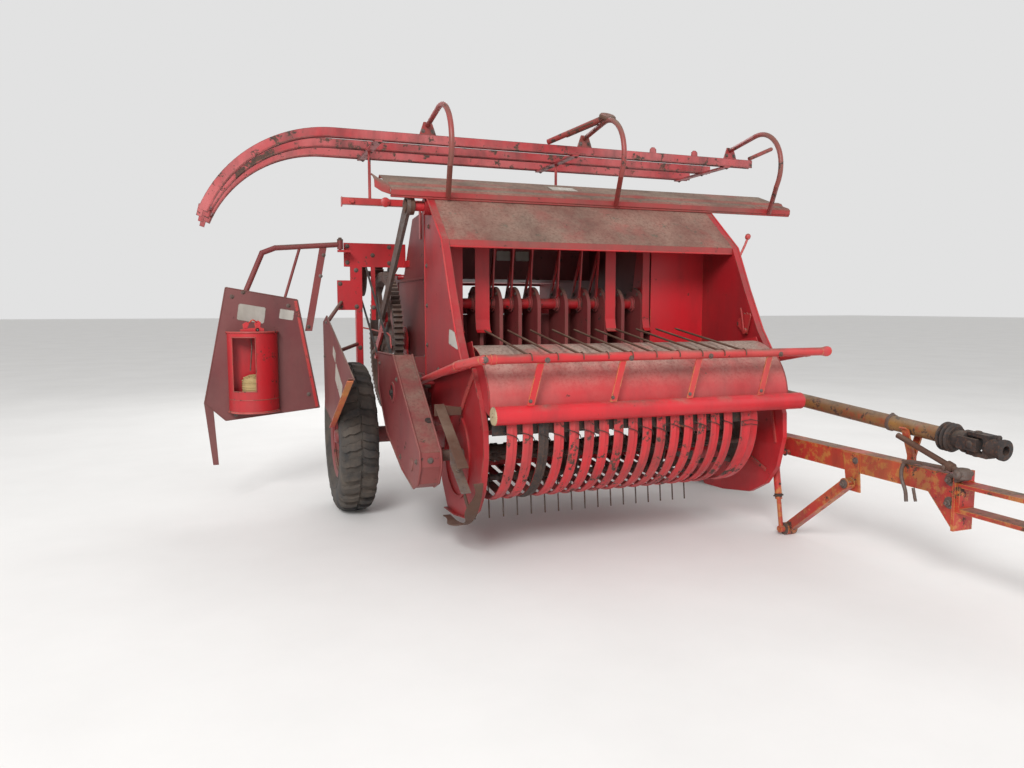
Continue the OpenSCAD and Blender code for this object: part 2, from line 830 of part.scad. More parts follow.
// Rim profile as radius and half width, tyre profile as radius and x
module wheel_shape(x, out) {
    r = rim_d / 2;
    translate([x, axle_c[0], axle_c[1]]) rotate([0, 90 * out, 0]) {
        difference() {
            union() {
                rotate_extrude($fn = 64) polygon([[r - 8, -70], [r + 22, -78], [r + 22, -70], [r, -62], [r, 62],
                    [r + 22, 70], [r + 22, 78], [r - 8, 70]]);
                translate([0, 0, 10]) cylinder(r = r - 7, h = 8);
                translate([0, 0, -50]) cylinder(d = 100, h = 108);
            }
            translate([0, 0, -60]) cylinder(d = stub_d + 2 * fit, h = 200);
            for (a = [0 : 72 : 288]) {
                rotate(a) translate([115, 0, 0]) cylinder(d = 46, h = 40);
            }
        }
    }
}

module tyre_shape(x) {
    r = tyre_d / 2;
    b = rim_d / 2;
    w = tyre_w / 2;
    half = [[b, 61], [b + 22.3, 69.7], [b + 50, w * 0.86], [b + 90, w], [r - 62, w * 0.97], [r - 24, w * 0.86],
        [r - 6, w * 0.7], [r, w * 0.4]];
    inside = [[r - 24, w * 0.4], [r - 30, w * 0.62], [r - 48, w * 0.74], [r - 74, w * 0.82], [b + 84, w * 0.84],
        [b + 48, w * 0.7], [b + 14, 50], [b, 42]];
    n = len(half);
    translate([x, axle_c[0], axle_c[1]]) rotate([0, 90, 0]) rotate_extrude($fn = 64) polygon(concat(
        half, [for (i = [n - 1 : -1 : 0]) [half[i][0], -half[i][1]]],
        [for (i = [n - 1 : -1 : 0]) [inside[i][0], -inside[i][1]]], inside));
}

module wheel_left() {
    machine() color(dark_red) wheel_shape(wheel_left_x, -1);
}

module tyre_left() {
    machine() color(black) tyre_shape(wheel_left_x);
}

module wheel_right() {
    machine() color(dark_red) wheel_shape(wheel_right_x, 1);
}

module tyre_right() {
    machine() color(black) tyre_shape(wheel_right_x);
}

pick_outline = concat(pick_edge, [[700, 250], [870, 560], [pivot[0] + 50, pivot[1] - 40],
    [pivot[0] + 55, pivot[1]], [pivot[0] + 30, pivot[1] + 45], [880, 800], [700, 850], [300, 960], [200, 975]]);

// The plates hold the cross shaft in a fork that opens to the rear
shaft_r = cross_d / 2 + fit;
fork_y = pivot[0] - cross_d / 2 - 2;

module pick_side_shape() {
    difference() {
        side(pick_x - sheet, sheet) difference() {
            polygon(pick_outline);
            translate([fork_y, 0]) square([300, 2000]);
        }
        xbar(pick_x - 20, pick_x + 20, reel_c[0], reel_c[1], reel_shaft_d + 2 * fit);
    }
    side(pick_x - sheet, sheet) {
        translate([fork_y + seat, pivot[1] + shaft_r]) square([60, 25]);
        translate([fork_y + seat, pivot[1] - shaft_r - 25]) square([60, 25]);
        translate([pivot[0] + shaft_r, pivot[1] - 19]) square([18, 38]);
    }
    side(pick_x, pick_flange) strip_2d(pick_edge, sheet);
    xbar(pick_x - 1, pick_x + 110, guard_pivot[0], guard_pivot[1], 20);
}

module pickup_side_left() {
    machine() color(dark_red) mirror([1, 0, 0]) {
        pick_side_shape();
        side(pick_x, 8) translate([430, 440]) difference() {
            circle(r = 205);
            circle(r = 192);
        }
    }
}

module pickup_side_right() {
    machine() color(red) pick_side_shape();
}

first_band = -pick_x + 85;

module strippers() {
    back_x = pick_x - sheet;
    module band(x, w) {
        side(x - w / 2, w) difference() {
            union() {
                intersection() {
                    translate(band_c) difference() {
                        circle(r = band_r);
                        circle(r = band_r - 3);
                    }
                    polygon([[band_c[0], band_c[1]], [-160, 712], [-160, 200], [band_c[0], 200]]);
                }
                polygon([[band_c[0], band_c[1] - band_r], [690, 318], [690, 321], [band_c[0], band_c[1] - band_r + 3]]);
            }
        }
    }
    machine() color(red) {
        for (i = [0 : band_n - 1]) {
            band(first_band + i * band_pitch, band_w);
        }
        band(first_band + (band_n - 0.5) * band_pitch + wide_band_w / 2 + 35, wide_band_w);
        block([-back_x, -64, 672], [back_x, -46, 700]);
        block([-back_x, 668, 320], [back_x, 700, 350]);
    }
}

module apron() {
    c = [220, 690];
    r = 265;
    machine() color(dusty) side(-pick_x + sheet, 2 * (pick_x - sheet)) {
        intersection() {
            translate(c) difference() {
                circle(r = r);
                circle(r = r - sheet);
            }
            polygon([c, [c[0] - 400, c[1] - 20], [c[0] - 400, c[1] + 400], [c[0], c[1] + 400]]);
        }
        polygon([[c[0] - 1, c[1] + r], [c[0] - 1, c[1] + r - sheet], [c[0] + 30, c[1] + r - 30],
            [c[0] + 34, c[1] + r - 30], [c[0] + 3, c[1] + r]]);
    }
}

module pickup_reel() {
    bar_r = 120;
    machine() color(grey) {
        difference() {
            xbar(-pick_x - 190, pick_x + 10, reel_c[0], reel_c[1], reel_shaft_d);
            xbar(-pick_x + 40, pick_x + 11, reel_c[0], reel_c[1], reel_shaft_d - 12);
        }
        xbar(-pick_x - 185, -pick_x - 173, reel_c[0], reel_c[1], 140);
        for (x = [-pick_x + 30, -230, 230, pick_x - 40]) {
            xbar(x, x + 6, reel_c[0], reel_c[1], 2 * bar_r + 40);
        }
        for (a = [0 : 90 : 270]) {
            c = reel_c + bar_r * [cos(a), sin(a)];
            xbar(-pick_x + 20, pick_x - 20, c[0], c[1], 26);
            for (i = [0 : band_n]) {
                x = first_band + (i - 0.5) * band_pitch;
                bar([x, c[0], c[1]], [x, reel_c[0] + tine_r * cos(a - 4), reel_c[1] + tine_r * sin(a - 4)], tine_d);
            }
        }
    }
}

// Outer and inner outline of the rim of the slanted drive guard, as y, z
guard_rim = [
    [[700, 892], [705, 884]], [[175, 505], [183, 500]], [[172, 440], [181, 443]], [[215, 360], [221, 367]],
    [[300, 325], [301, 334]], [[530, 365], [527, 373]], [[880, 490], [875, 496]], [[1000, 610], [994, 615]]
];

module drive_guard() {
    x0 = belt_x - 47;
    w = 95;
    rim_x = x0 + sheet + seat;
    machine() color(dark_red) {
        side(x0, sheet) polygon(concat([for (r = guard_rim) r[0]], [[1090, 700], [1090, 885]]));
        for (i = [0 : len(guard_rim) - 2]) {
            a = guard_rim[i];
            b = guard_rim[i + 1];
            slit = unit(a[0], b[0]) * seat;
            side(rim_x, w - sheet) polygon([a[0] + slit, b[0], b[1], a[1] + slit]);
        }
        block([rim_x, 500, 540], [-pick_x, 530, 570]);
        block([rim_x, 640, 400], [-pick_x, 670, 430]);
    }
}

guard_y = -100;
guard_z = 915;

module crop_guard() {
    bend_x = -arm_x + 48;
    hub = [guard_pivot[0], guard_pivot[1]];
    machine() color(red) {
        difference() {
            union() {
                bar([-arm_x, hub[0], hub[1]], [-arm_x, 70, 884], guard_d - 2);
                bar([-arm_x, 70, 884], [bend_x, guard_y, guard_z], guard_d);
                xbar(bend_x, arm_x + 42, guard_y, guard_z, guard_d);
                bar([arm_x, hub[0], hub[1]], [arm_x, guard_y, guard_z], guard_d - 5);
                for (x = [-arm_x, arm_x]) {
                    xbar(x - 21, x + 21, hub[0], hub[1], 50);
                }
                translate([-arm_x, 70, 884]) sphere(d = guard_d + 3);
                translate([bend_x, guard_y, guard_z]) sphere(d = guard_d + 3);
            }
            for (x = [-arm_x, arm_x]) {
                xbar(x - 30, x + 30, hub[0], hub[1], 20 + 2 * fit);
            }
            block([-arm_x - 40, 110, 700], [-arm_x + 40, 110 + seat, 1000]);
            block([arm_x - 40, -60, 700], [arm_x + 40, -60 + seat, 1000]);
            block([bend_x + 40, -140, 880], [bend_x + 40 + seat, -60, 940]);
        }
        for (i = [0 : 3]) {
            x = -543 + i * 377;
            front(guard_y - 3, 5) polygon([[x - 15, guard_z - 17], [x + 15, guard_z - 17], [x - 30, 724], [x - 60, 724]]);
        }
    }
}

module press_bar() {
    c = [-92, 686.2];
    machine() color(red) side(-pick_x, pick_x + hood_x) {
        difference() {
            translate(c) circle(r = press_r);
            translate(c) circle(r = press_r - sheet);
            translate(c) square([100, 100]);
            translate([c[0], c[1] - 100]) square([100, 100]);
        }
    }
}

module hold_down_rods() {
    machine() color(rust) difference() {
        for (i = [0 : rod_n - 1]) {
            x = -600 + i * 115;
            bar([x, guard_y, guard_z + guard_d / 2 - 4], [x, 440, 1010], rod_d);
        }
        xbar(-700, 800, guard_y, guard_z, guard_d + 2 * seat);
    }
}

// Tube of the string door's frame
door_tube = 30;

// Places its children on the string door, x from its hinge
module on_door() {
    translate([door_x, 0, 0]) children();
}

module door_frame() {
    machine() color(dark_red) on_door() {
        difference() {
            union() {
                translate([0, door_y, 1456]) cylinder(d = 34, h = 50);
                bent_bar([[-14, door_y, 1482], [-362, door_y, 1454], [-433, door_y, 1425], [-530, door_y, 1200]], door_tube);
            }
            translate([0, door_y, 1400]) cylinder(d = 16 + 2 * fit, h = 200);
        }
        bar([-226, door_y, 1465], [-321, door_y, 1160], 16);
        front(door_y - 4, 8) polygon([[-75, 1476], [-115, 1476], [-210, 985], [-170, 985]]);
    }
}

panel_y = door_y - door_tube / 2 - sheet - seat;
panel_edge = [[-250, 1163], [-142, 542]];

module door_panel() {
    machine() color(dark_red) on_door() {
        front(panel_y, sheet) polygon([[-632, 1230], panel_edge[0], panel_edge[1], [-655, 490], [door_tip, 593]]);
        front(panel_y - 24, 24) strip_2d(panel_edge, -5);
        front(panel_y + sheet, 12) polygon([[door_tip, 593], [door_tip + 46, 590], [door_tip + 66, 240],
            [door_tip + 36, 240]]);
    }
}

module twine_can() {
    low = 540;
    high = 985;
    cx = -500;
    r = 135;
    module half(rr, z0, z1) {
        translate([cx, panel_y, z0]) intersection() {
            cylinder(r = rr, h = z1 - z0);
            translate([-rr, -rr, 0]) cube([2 * rr, rr, z1 - z0]);
        }
    }
    machine() color(red) on_door() difference() {
        half(r, low, high);
        half(r - 5, low + 5, high - 5);
        translate([cx - r + 26, panel_y - r - 10, low + 120]) cube([120, r - 10, high - low - 150]);
    }
}

module side_cover() {
    x0 = door_x - 124;
    low_edge = [[393, 809], [1072, 502]];
    machine() color(dark_red) {
        side(x0, sheet) polygon([[393, 809], [1293, 1074], [1440, 1040], [1440, 560], [1072, 502]]);
        side(x0 - 22, 26) strip_2d(low_edge, 5);
        difference() {
            union() {
                bar([door_x + 10, bracket_y + 4, 1150], [x0 + 4, 1300, 1040], 22);
                bar([door_x + 115, bracket_y + 25, 905], [x0 + 4, 1400, 850], 22);
            }
            block([door_x - 100, bracket_y - seat, 1000], [door_x + 100, bracket_y + 40, 1300]);
            block([door_x + 98 - seat, bracket_y - seat, 800], [door_x + 200, bracket_y + 60, 1000]);
            block([x0 - 40, 1000, 700], [x0 + sheet - 1, 1500, 1200]);
        }
    }
}

// Middle y of each slide rail, and where its straight part ends on the right
rail_table = [[1020, 1300], [1280, 1180], [1540, 1200]];

// Left edges of the flat ties under the rails
rail_tie_x = [-1000, 100, 1100];

// Angle at which the bent end of a rail stops
rail_sweep = 66.5;

module slide_rails() {
    module run(y, w, top, depth, x_end) {
        front(y - w / 2, w) {
            translate([-1200, top - depth]) square([x_end + 1200, depth]);
            intersection() {
                translate([-1200, rail_z - rail_bend]) difference() {
                    circle(r = rail_bend - rail_z + top, $fn = 240);
                    circle(r = rail_bend - rail_z + top - depth, $fn = 240);
                }
                polygon([[-1200, rail_z - rail_bend], [-1200, rail_z + 10], [-2200, rail_z + 10],
                    [-1200 - 1000 * sin(rail_sweep), rail_z - rail_bend + 1000 * cos(rail_sweep)]]);
            }
        }
    }
    machine() color(red) {
        for (r = rail_table) {
            difference() {
                run(r[0], 34, rail_z, rail_h, r[1]);
                run(r[0], 24, rail_z - 5, rail_h + 5, r[1] + 1);
            }
        }
        for (x = rail_tie_x) {
            block([x, rail_table[0][0] - 17, rail_z - rail_h - 10], [x + 40, rail_table[2][0] + 17, rail_z - rail_h]);
        }
        bar([-1796, 1003, 1620], [-1796, 1557, 1620], 24);
    }
}

// Hoops, each as x at its bracket, x at its front and x at its foot
hoop_table = [[-720, -745, -708], [180, 140, 203], [1150, 1090, 1180]];
hoop_c = [680, 1880];
hoop_r = 198;
hoop_a0 = 83;
hoop_a1 = 212;

module slide_hoops() {
    rail_top = rail_z + seat;
    rear_y = rail_table[0][0];
    p0 = [hoop_c[0] + hoop_r * cos(hoop_a0), hoop_c[1] + hoop_r * sin(hoop_a0)];
    p1 = [hoop_c[0] + hoop_r * cos(hoop_a1), hoop_c[1] + hoop_r * sin(hoop_a1)];
    foot_p = [680.5, 1655];
    machine() color(rust) {
        for (h = hoop_table) {
            translate([h[1], hoop_c[0], hoop_c[1]]) rotate([90, 0, 90]) rotate([0, 0, hoop_a0])
                rotate_extrude(angle = hoop_a1 - hoop_a0, $fn = 72) translate([hoop_r, 0]) circle(d = hoop_d, $fn = 24);
            bar([h[1], p0[0], p0[1]], [h[0], rear_y, rail_top + 50], hoop_d);
            bar([h[1], p1[0], p1[1]], [h[2], foot_p[0], foot_p[1]], hoop_d);
            translate([h[1], p0[0], p0[1]]) sphere(d = hoop_d + 1);
            translate([h[1], p1[0], p1[1]]) sphere(d = hoop_d + 1);
            front(rear_y - 4, 8) polygon([[h[0] - 45, rail_top], [h[0] + 45, rail_top], [h[0] + 22, rail_top + 66],
                [h[0] - 22, rail_top + 66]]);
        }
        bar([-40, rear_y, rail_top + 16], [150, 690, hoop_c[1] + hoop_r + 26], 30);
        translate([150, 690, hoop_c[1] + hoop_r + 20]) rotate([30, 0, 0]) cylinder(d = 76, h = 14);
        bar([1290, rear_y, rail_top + 11.1], [lever_tip_x, rear_y, 2090], lever_d);
        translate([lever_tip_x, rear_y, 2090]) sphere(d = lever_d + 0.001);
    }
}

module slide_board() {
    machine() color(dusty) {
        side(-986, 2320) strip_2d([[702, 1644], [690, 1652], [688, 1676], [700, 1688], [752, 1707], [764, 1722],
            [792, 1732], [806, 1726], [975, 1788], [996, 1776]], -3);
    }
}

module slide_support() {
    z0 = 1672;
    beam_y = [rail_table[1][0] - 18, rail_table[1][0] + 18];
    machine() color(red) {
        block([-1130, beam_y[0], z0], [chamber_right + 6, beam_y[1], z0 + 36]);
        for (x = [rail_tie_x[0], rail_tie_x[1]]) {
            bar([x + 20, rail_table[1][0], z0 + 35], [x + 20, rail_table[1][0], rail_z - rail_h - 10 - seat], 16);
        }
        for (x = [-chamber_left - 6, chamber_right]) {
            block([x, beam_y[0], 1500], [x + 6, beam_y[1], z0 + 1]);
        }
        for (x = [-600, 0, 600]) {
            side(x, 8) polygon([[840, 1671.3], [880, 1680.1], [880, 1749.6], [840, 1735]]);
        }
    }
}

main_frame();
drawbar();
hitch_tongue();
shaft_cradle();
gearbox();
wheel_left();
tyre_left();
wheel_right();
tyre_right();
hood_side_left();
hood_side_right();
hood_top();
feed_panel();
feed_strips();
chamber_wall_left();
chamber_wall_right();
chamber_floor();
chamber_roof();
density_flap();
knotters();
needle_yoke();
ram_frame();
ram_plates();
ram_lever();
gear_wheel();
pitman();
pinion_shaft();
belt_pulley();
v_belt();
cross_shaft();
drive_bracket();
pickup_side_left();
pickup_side_right();
strippers();
apron();
pickup_reel();
drive_guard();
crop_guard();
press_bar();
hold_down_rods();
pto_shaft();
pto_yoke();
stand_leg();
stand_strut();
door_frame();
door_panel();
twine_can();
side_cover();
slide_rails();
slide_hoops();
slide_board();
slide_support();
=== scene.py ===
import random
from math import cos, pi, radians, sin, sqrt

import bmesh
import bpy
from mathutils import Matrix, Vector


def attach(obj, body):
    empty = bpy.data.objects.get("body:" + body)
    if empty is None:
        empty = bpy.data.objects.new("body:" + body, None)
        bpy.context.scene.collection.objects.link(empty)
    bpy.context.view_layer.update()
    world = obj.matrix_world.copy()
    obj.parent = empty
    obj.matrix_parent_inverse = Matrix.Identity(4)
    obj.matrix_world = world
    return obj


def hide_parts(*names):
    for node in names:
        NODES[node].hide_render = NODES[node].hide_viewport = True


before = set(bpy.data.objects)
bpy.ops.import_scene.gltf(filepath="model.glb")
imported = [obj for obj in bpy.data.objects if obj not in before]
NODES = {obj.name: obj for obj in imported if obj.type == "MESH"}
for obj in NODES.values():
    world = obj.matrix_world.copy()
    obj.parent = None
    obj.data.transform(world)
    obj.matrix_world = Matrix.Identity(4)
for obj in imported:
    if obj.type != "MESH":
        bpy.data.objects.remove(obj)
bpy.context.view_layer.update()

random.seed(7)

# Shapes are given in the machine's millimetres: x to the right in the photo, y to the back, z up.
# The row frame has its origin on the floor, under the middle of the part.
MID_X = (-1866 + 1462) / 2
MID_Y = (-1640 + 2347) / 2

RIGHT, LEFT = (1, 0, 0), (-1, 0, 0)
BACK, FRONT = (0, 1, 0), (0, -1, 0)
UP, DOWN = (0, 0, 1), (0, 0, -1)

# Axles, pins and tubes that run across the machine, as (y, z)
AXLE = (1300, 410)
CROSS_SHAFT = (930, 720)
GEAR = (1650, 920)
CRANK_PIN = (1758, 846)
PINION = (1880, 1335)
RAM_PIVOT = (750, 1610)
RAM_PIN = (1438, 1065)
RAM_TUBE = (820, 1140)
REEL = (340, 455)
GUARD_HINGE = (840, 737)
GUARD_TUBE = (-100, 915)
PRESS_BAR = (-92, 686)
KNOTTER = (1790, 1415)
LEG_PIN = (40, 30)
STRUT_PIN = (101, 400)

# Outer faces that bolts sit on, as x
HOOD_X = 775
GUARD_X = -985
COVER_X = -1224

# Rows across the machine, as x
RAM_PLATES = (-538, -433, -330, -224, -69, 61, 161, 264, 382)
KNOTTERS = (-420, 180)


def P(x, y, z):
    """A point given in the machine's millimetres, as a vector in metres in the row frame."""
    return Vector(((x - MID_X) / 1000, (y - MID_Y) / 1000, z / 1000))


def on_circle(centre, r, deg):
    """The point of a circle about a centre of two coordinates, at an angle in degrees."""
    t = radians(deg)
    return centre[0] + r * cos(t), centre[1] + r * sin(t)


# ---------- camera
# Fitted to the photo: place, lens, and how far it looks down and to the right, in degrees
CAMERA_AT = (-1742, -2985, 1122)
CAMERA_DOWN, CAMERA_RIGHT = 5.7, 20.4
LENS = 27.07

cam = bpy.data.objects.new("Camera", bpy.data.cameras.new("Camera"))
bpy.context.scene.collection.objects.link(cam)
cam.data.sensor_width = 36.0
cam.data.lens = LENS
cam.data.clip_start = 0.05
cam.location = P(*CAMERA_AT)
cam.rotation_euler = (radians(90 - CAMERA_DOWN), 0, radians(-CAMERA_RIGHT))
bpy.context.scene.camera = cam


# ---------- materials
RUST = (0.115, 0.050, 0.028)
DUST = (0.24, 0.18, 0.13)
DARK = (0.035, 0.026, 0.024)
CRUMBS = (0.060, 0.048, 0.037)
TYRE_DUST = (0.16, 0.125, 0.095)
SOILS = ((0.115, 0.090, 0.066), (0.25, 0.20, 0.15))


class Tree:
    """Small helper to wire shader nodes in few words."""

    def __init__(self, owner):
        owner.use_nodes = True
        self.tree = owner.node_tree
        self.tree.nodes.clear()

    def add(self, kind, inputs, **props):
        """A node with its properties; each input gets a value, or a link from another node."""
        n = self.tree.nodes.new(kind)
        for key, value in props.items():
            setattr(n, key, value)
        for key, value in inputs.items():
            self.put(n.inputs[key], value)
        return n

    def put(self, socket, value):
        if isinstance(value, bpy.types.NodeSocket):
            self.tree.links.new(value, socket)
        elif isinstance(value, tuple) and len(value) == 3 and socket.type == "RGBA":
            socket.default_value = (*value, 1)
        else:
            socket.default_value = value


class Graph(Tree):
    """The nodes of one material, around a principled shader."""

    def __init__(self, name):
        self.mat = bpy.data.materials.new(name)
        super().__init__(self.mat)
        self.shader = self.add("ShaderNodeBsdfPrincipled", {})
        self.add("ShaderNodeOutputMaterial", {0: self.shader.outputs[0]})
        self.coord = self.add("ShaderNodeTexCoord", {}).outputs["Object"]
        self.normal = self.add("ShaderNodeNewGeometry", {}).outputs["Normal"]

    def noise(self, scale, detail, rough, seed=0.0, stretch=None):
        """Noise in object space; the seed moves it, so that materials don't repeat one another."""
        vec = self.coord
        if stretch or seed:
            place = {"Vector": vec, "Location": (seed, seed * 0.7, seed * 1.3), "Scale": stretch or (1, 1, 1)}
            vec = self.add("ShaderNodeMapping", place).outputs[0]
        grain = {"Vector": vec, "Scale": scale, "Detail": detail, "Roughness": rough}
        return self.add("ShaderNodeTexNoise", grain).outputs["Fac"]

    def ramp(self, value, lo, hi):
        """0 where the value is at lo, 1 where it is at hi, and clamped beyond."""
        n = self.add("ShaderNodeMapRange", {"Value": value, "From Min": lo, "From Max": hi}, clamp=True)
        return n.outputs[0]

    def patches(self, scale, detail, rough, seed, lo, hi, stretch=None):
        """Noise cut to patches: 0 where it is under lo, 1 where it is over hi."""
        return self.ramp(self.noise(scale, detail, rough, seed, stretch), lo, hi)

    def math(self, op, a, b):
        return self.add("ShaderNodeMath", {0: a, 1: b}, operation=op).outputs[0]

    def times(self, a, b):
        return self.math("MULTIPLY", a, b)

    def plus(self, a, b):
        return self.math("ADD", a, b)

    def mix(self, fac, a, b):
        """Colour a where fac is 0 and colour b where it is 1, by the node's colour sockets."""
        return self.add("ShaderNodeMix", {0: fac, 6: a, 7: b}, data_type="RGBA").outputs[2]

    def up(self):
        """How far the surface faces up, from -1 to 1."""
        return self.add("ShaderNodeSeparateXYZ", {0: self.normal}).outputs[2]

    def edges(self):
        """1 along sharp edges, within 6 mm of them, and 0 elsewhere."""
        b = self.add("ShaderNodeBevel", {"Radius": 0.006}, samples=4)
        d = self.add("ShaderNodeVectorMath", {0: b.outputs[0], 1: self.normal}, operation="DOT_PRODUCT")
        return self.ramp(d.outputs["Value"], 0.995, 0.86)

    def bump(self, height, strength, distance):
        b = self.add("ShaderNodeBump", {"Height": height, "Strength": strength, "Distance": distance})
        self.put(self.shader.inputs["Normal"], b.outputs[0])

    def finish(self, color, rough, metal=0.0):
        for key, value in (("Base Color", color), ("Roughness", rough), ("Metallic", metal)):
            self.put(self.shader.inputs[key], value)
        return self.mat


def paint(name, base, faded, chips, dust, edge, grime=0.4, worn=RUST, seed=0.0, rough=0.42, under=None,
          soils=SOILS):
    """Old paint: sun-faded patches, dirt, chips to rust, worn edges, and dust on what faces up.

    chips, dust, edge and grime run from 0 for none to 1 for much. worn is the colour of the worn
    edges, under an older coat below, and soils are the dark and the light dust.
    """
    g = Graph(name)
    col = g.mix(g.patches(2.2, 5, 0.6, seed + 3, 0.38, 0.66), base, faded)
    if under:
        flake = g.patches(16, 9, 0.78, seed + 31, 0.52, 0.56)
        col = g.mix(g.times(flake, 0.75), col, under)
    streak = g.patches(7, 5, 0.65, seed + 11, 0.46, 0.72, stretch=(1, 1, 0.25))
    col = g.mix(g.times(streak, 0.75 * grime), col, DARK)
    speck = g.noise(55, 6, 0.7, seed + 5)
    fine = g.noise(230, 3, 0.6, seed + 2)
    flaking = g.plus(g.noise(13, 8, 0.72, seed + 17), g.times(speck, 0.3))
    chip = g.ramp(flaking, 0.83 - 0.13 * chips, 0.87 - 0.13 * chips)
    col = g.mix(chip, col, g.mix(g.ramp(speck, 0.35, 0.65), RUST, DARK))
    rubbed = g.patches(24, 5, 0.7, seed + 7, 0.62 - 0.28 * edge, 0.72 - 0.2 * edge)
    col = g.mix(g.times(g.edges(), rubbed), col, worn)
    settled = g.patches(5, 6, 0.65, seed + 23, 0.62 - 0.5 * dust, 0.80 - 0.35 * dust)
    dusty = g.times(g.ramp(g.up(), 0.25, 0.9), settled)
    soil = g.mix(g.patches(3.6, 7, 0.7, seed + 41, 0.36, 0.62), *soils)
    crumbs = g.patches(70, 4, 0.8, seed + 43, 0.48, 0.60)
    soil = g.mix(g.times(crumbs, 0.55), soil, CRUMBS)
    film = g.times(g.patches(3.1, 4, 0.6, seed + 29, 0.35, 0.8), 0.17 * dust)
    col = g.mix(g.math("MAXIMUM", g.times(dusty, 0.88), film), col, soil)
    matt = g.plus(g.plus(rough, g.times(dusty, 0.4)), g.times(chip, 0.35))
    height = g.plus(g.times(chip, -0.6), g.times(fine, 0.25))
    g.bump(g.plus(height, g.times(speck, 0.3)), 0.35, 0.0015)
    return g.finish(col, matt)


def bare(name, base, bloomed, seed, metal=0.6, dust=0.4):
    """Bare steel with rust bloom and dust."""
    g = Graph(name)
    bloom = g.patches(9, 8, 0.7, seed + 1, 0.36, 0.62)
    col = g.mix(bloom, base, bloomed)
    speck = g.noise(90, 5, 0.7, seed + 9)
    col = g.mix(g.ramp(speck, 0.5, 0.7), col, RUST)
    settled = g.patches(6, 5, 0.6, seed + 4, 0.6 - 0.5 * dust, 0.9 - 0.4 * dust)
    dusty = g.times(g.ramp(g.up(), 0.2, 0.9), settled)
    col = g.mix(g.times(dusty, 0.8), col, DUST)
    g.bump(speck, 0.4, 0.0012)
    shiny = g.math("SUBTRACT", 1.0, bloom)
    return g.finish(col, g.plus(0.55, g.times(bloom, 0.25)), g.times(shiny, metal))


def rubber(name, base, dust):
    """Matt black rubber with dust in patches."""
    g = Graph(name)
    dusty = g.patches(7, 6, 0.65, 0.0, 0.66 - 0.4 * dust, 0.9 - 0.3 * dust)
    col = g.mix(g.times(dusty, 0.6), base, TYRE_DUST)
    g.bump(g.noise(160, 4, 0.6), 0.3, 0.001)
    return g.finish(col, g.plus(0.68, g.times(dusty, 0.2)))


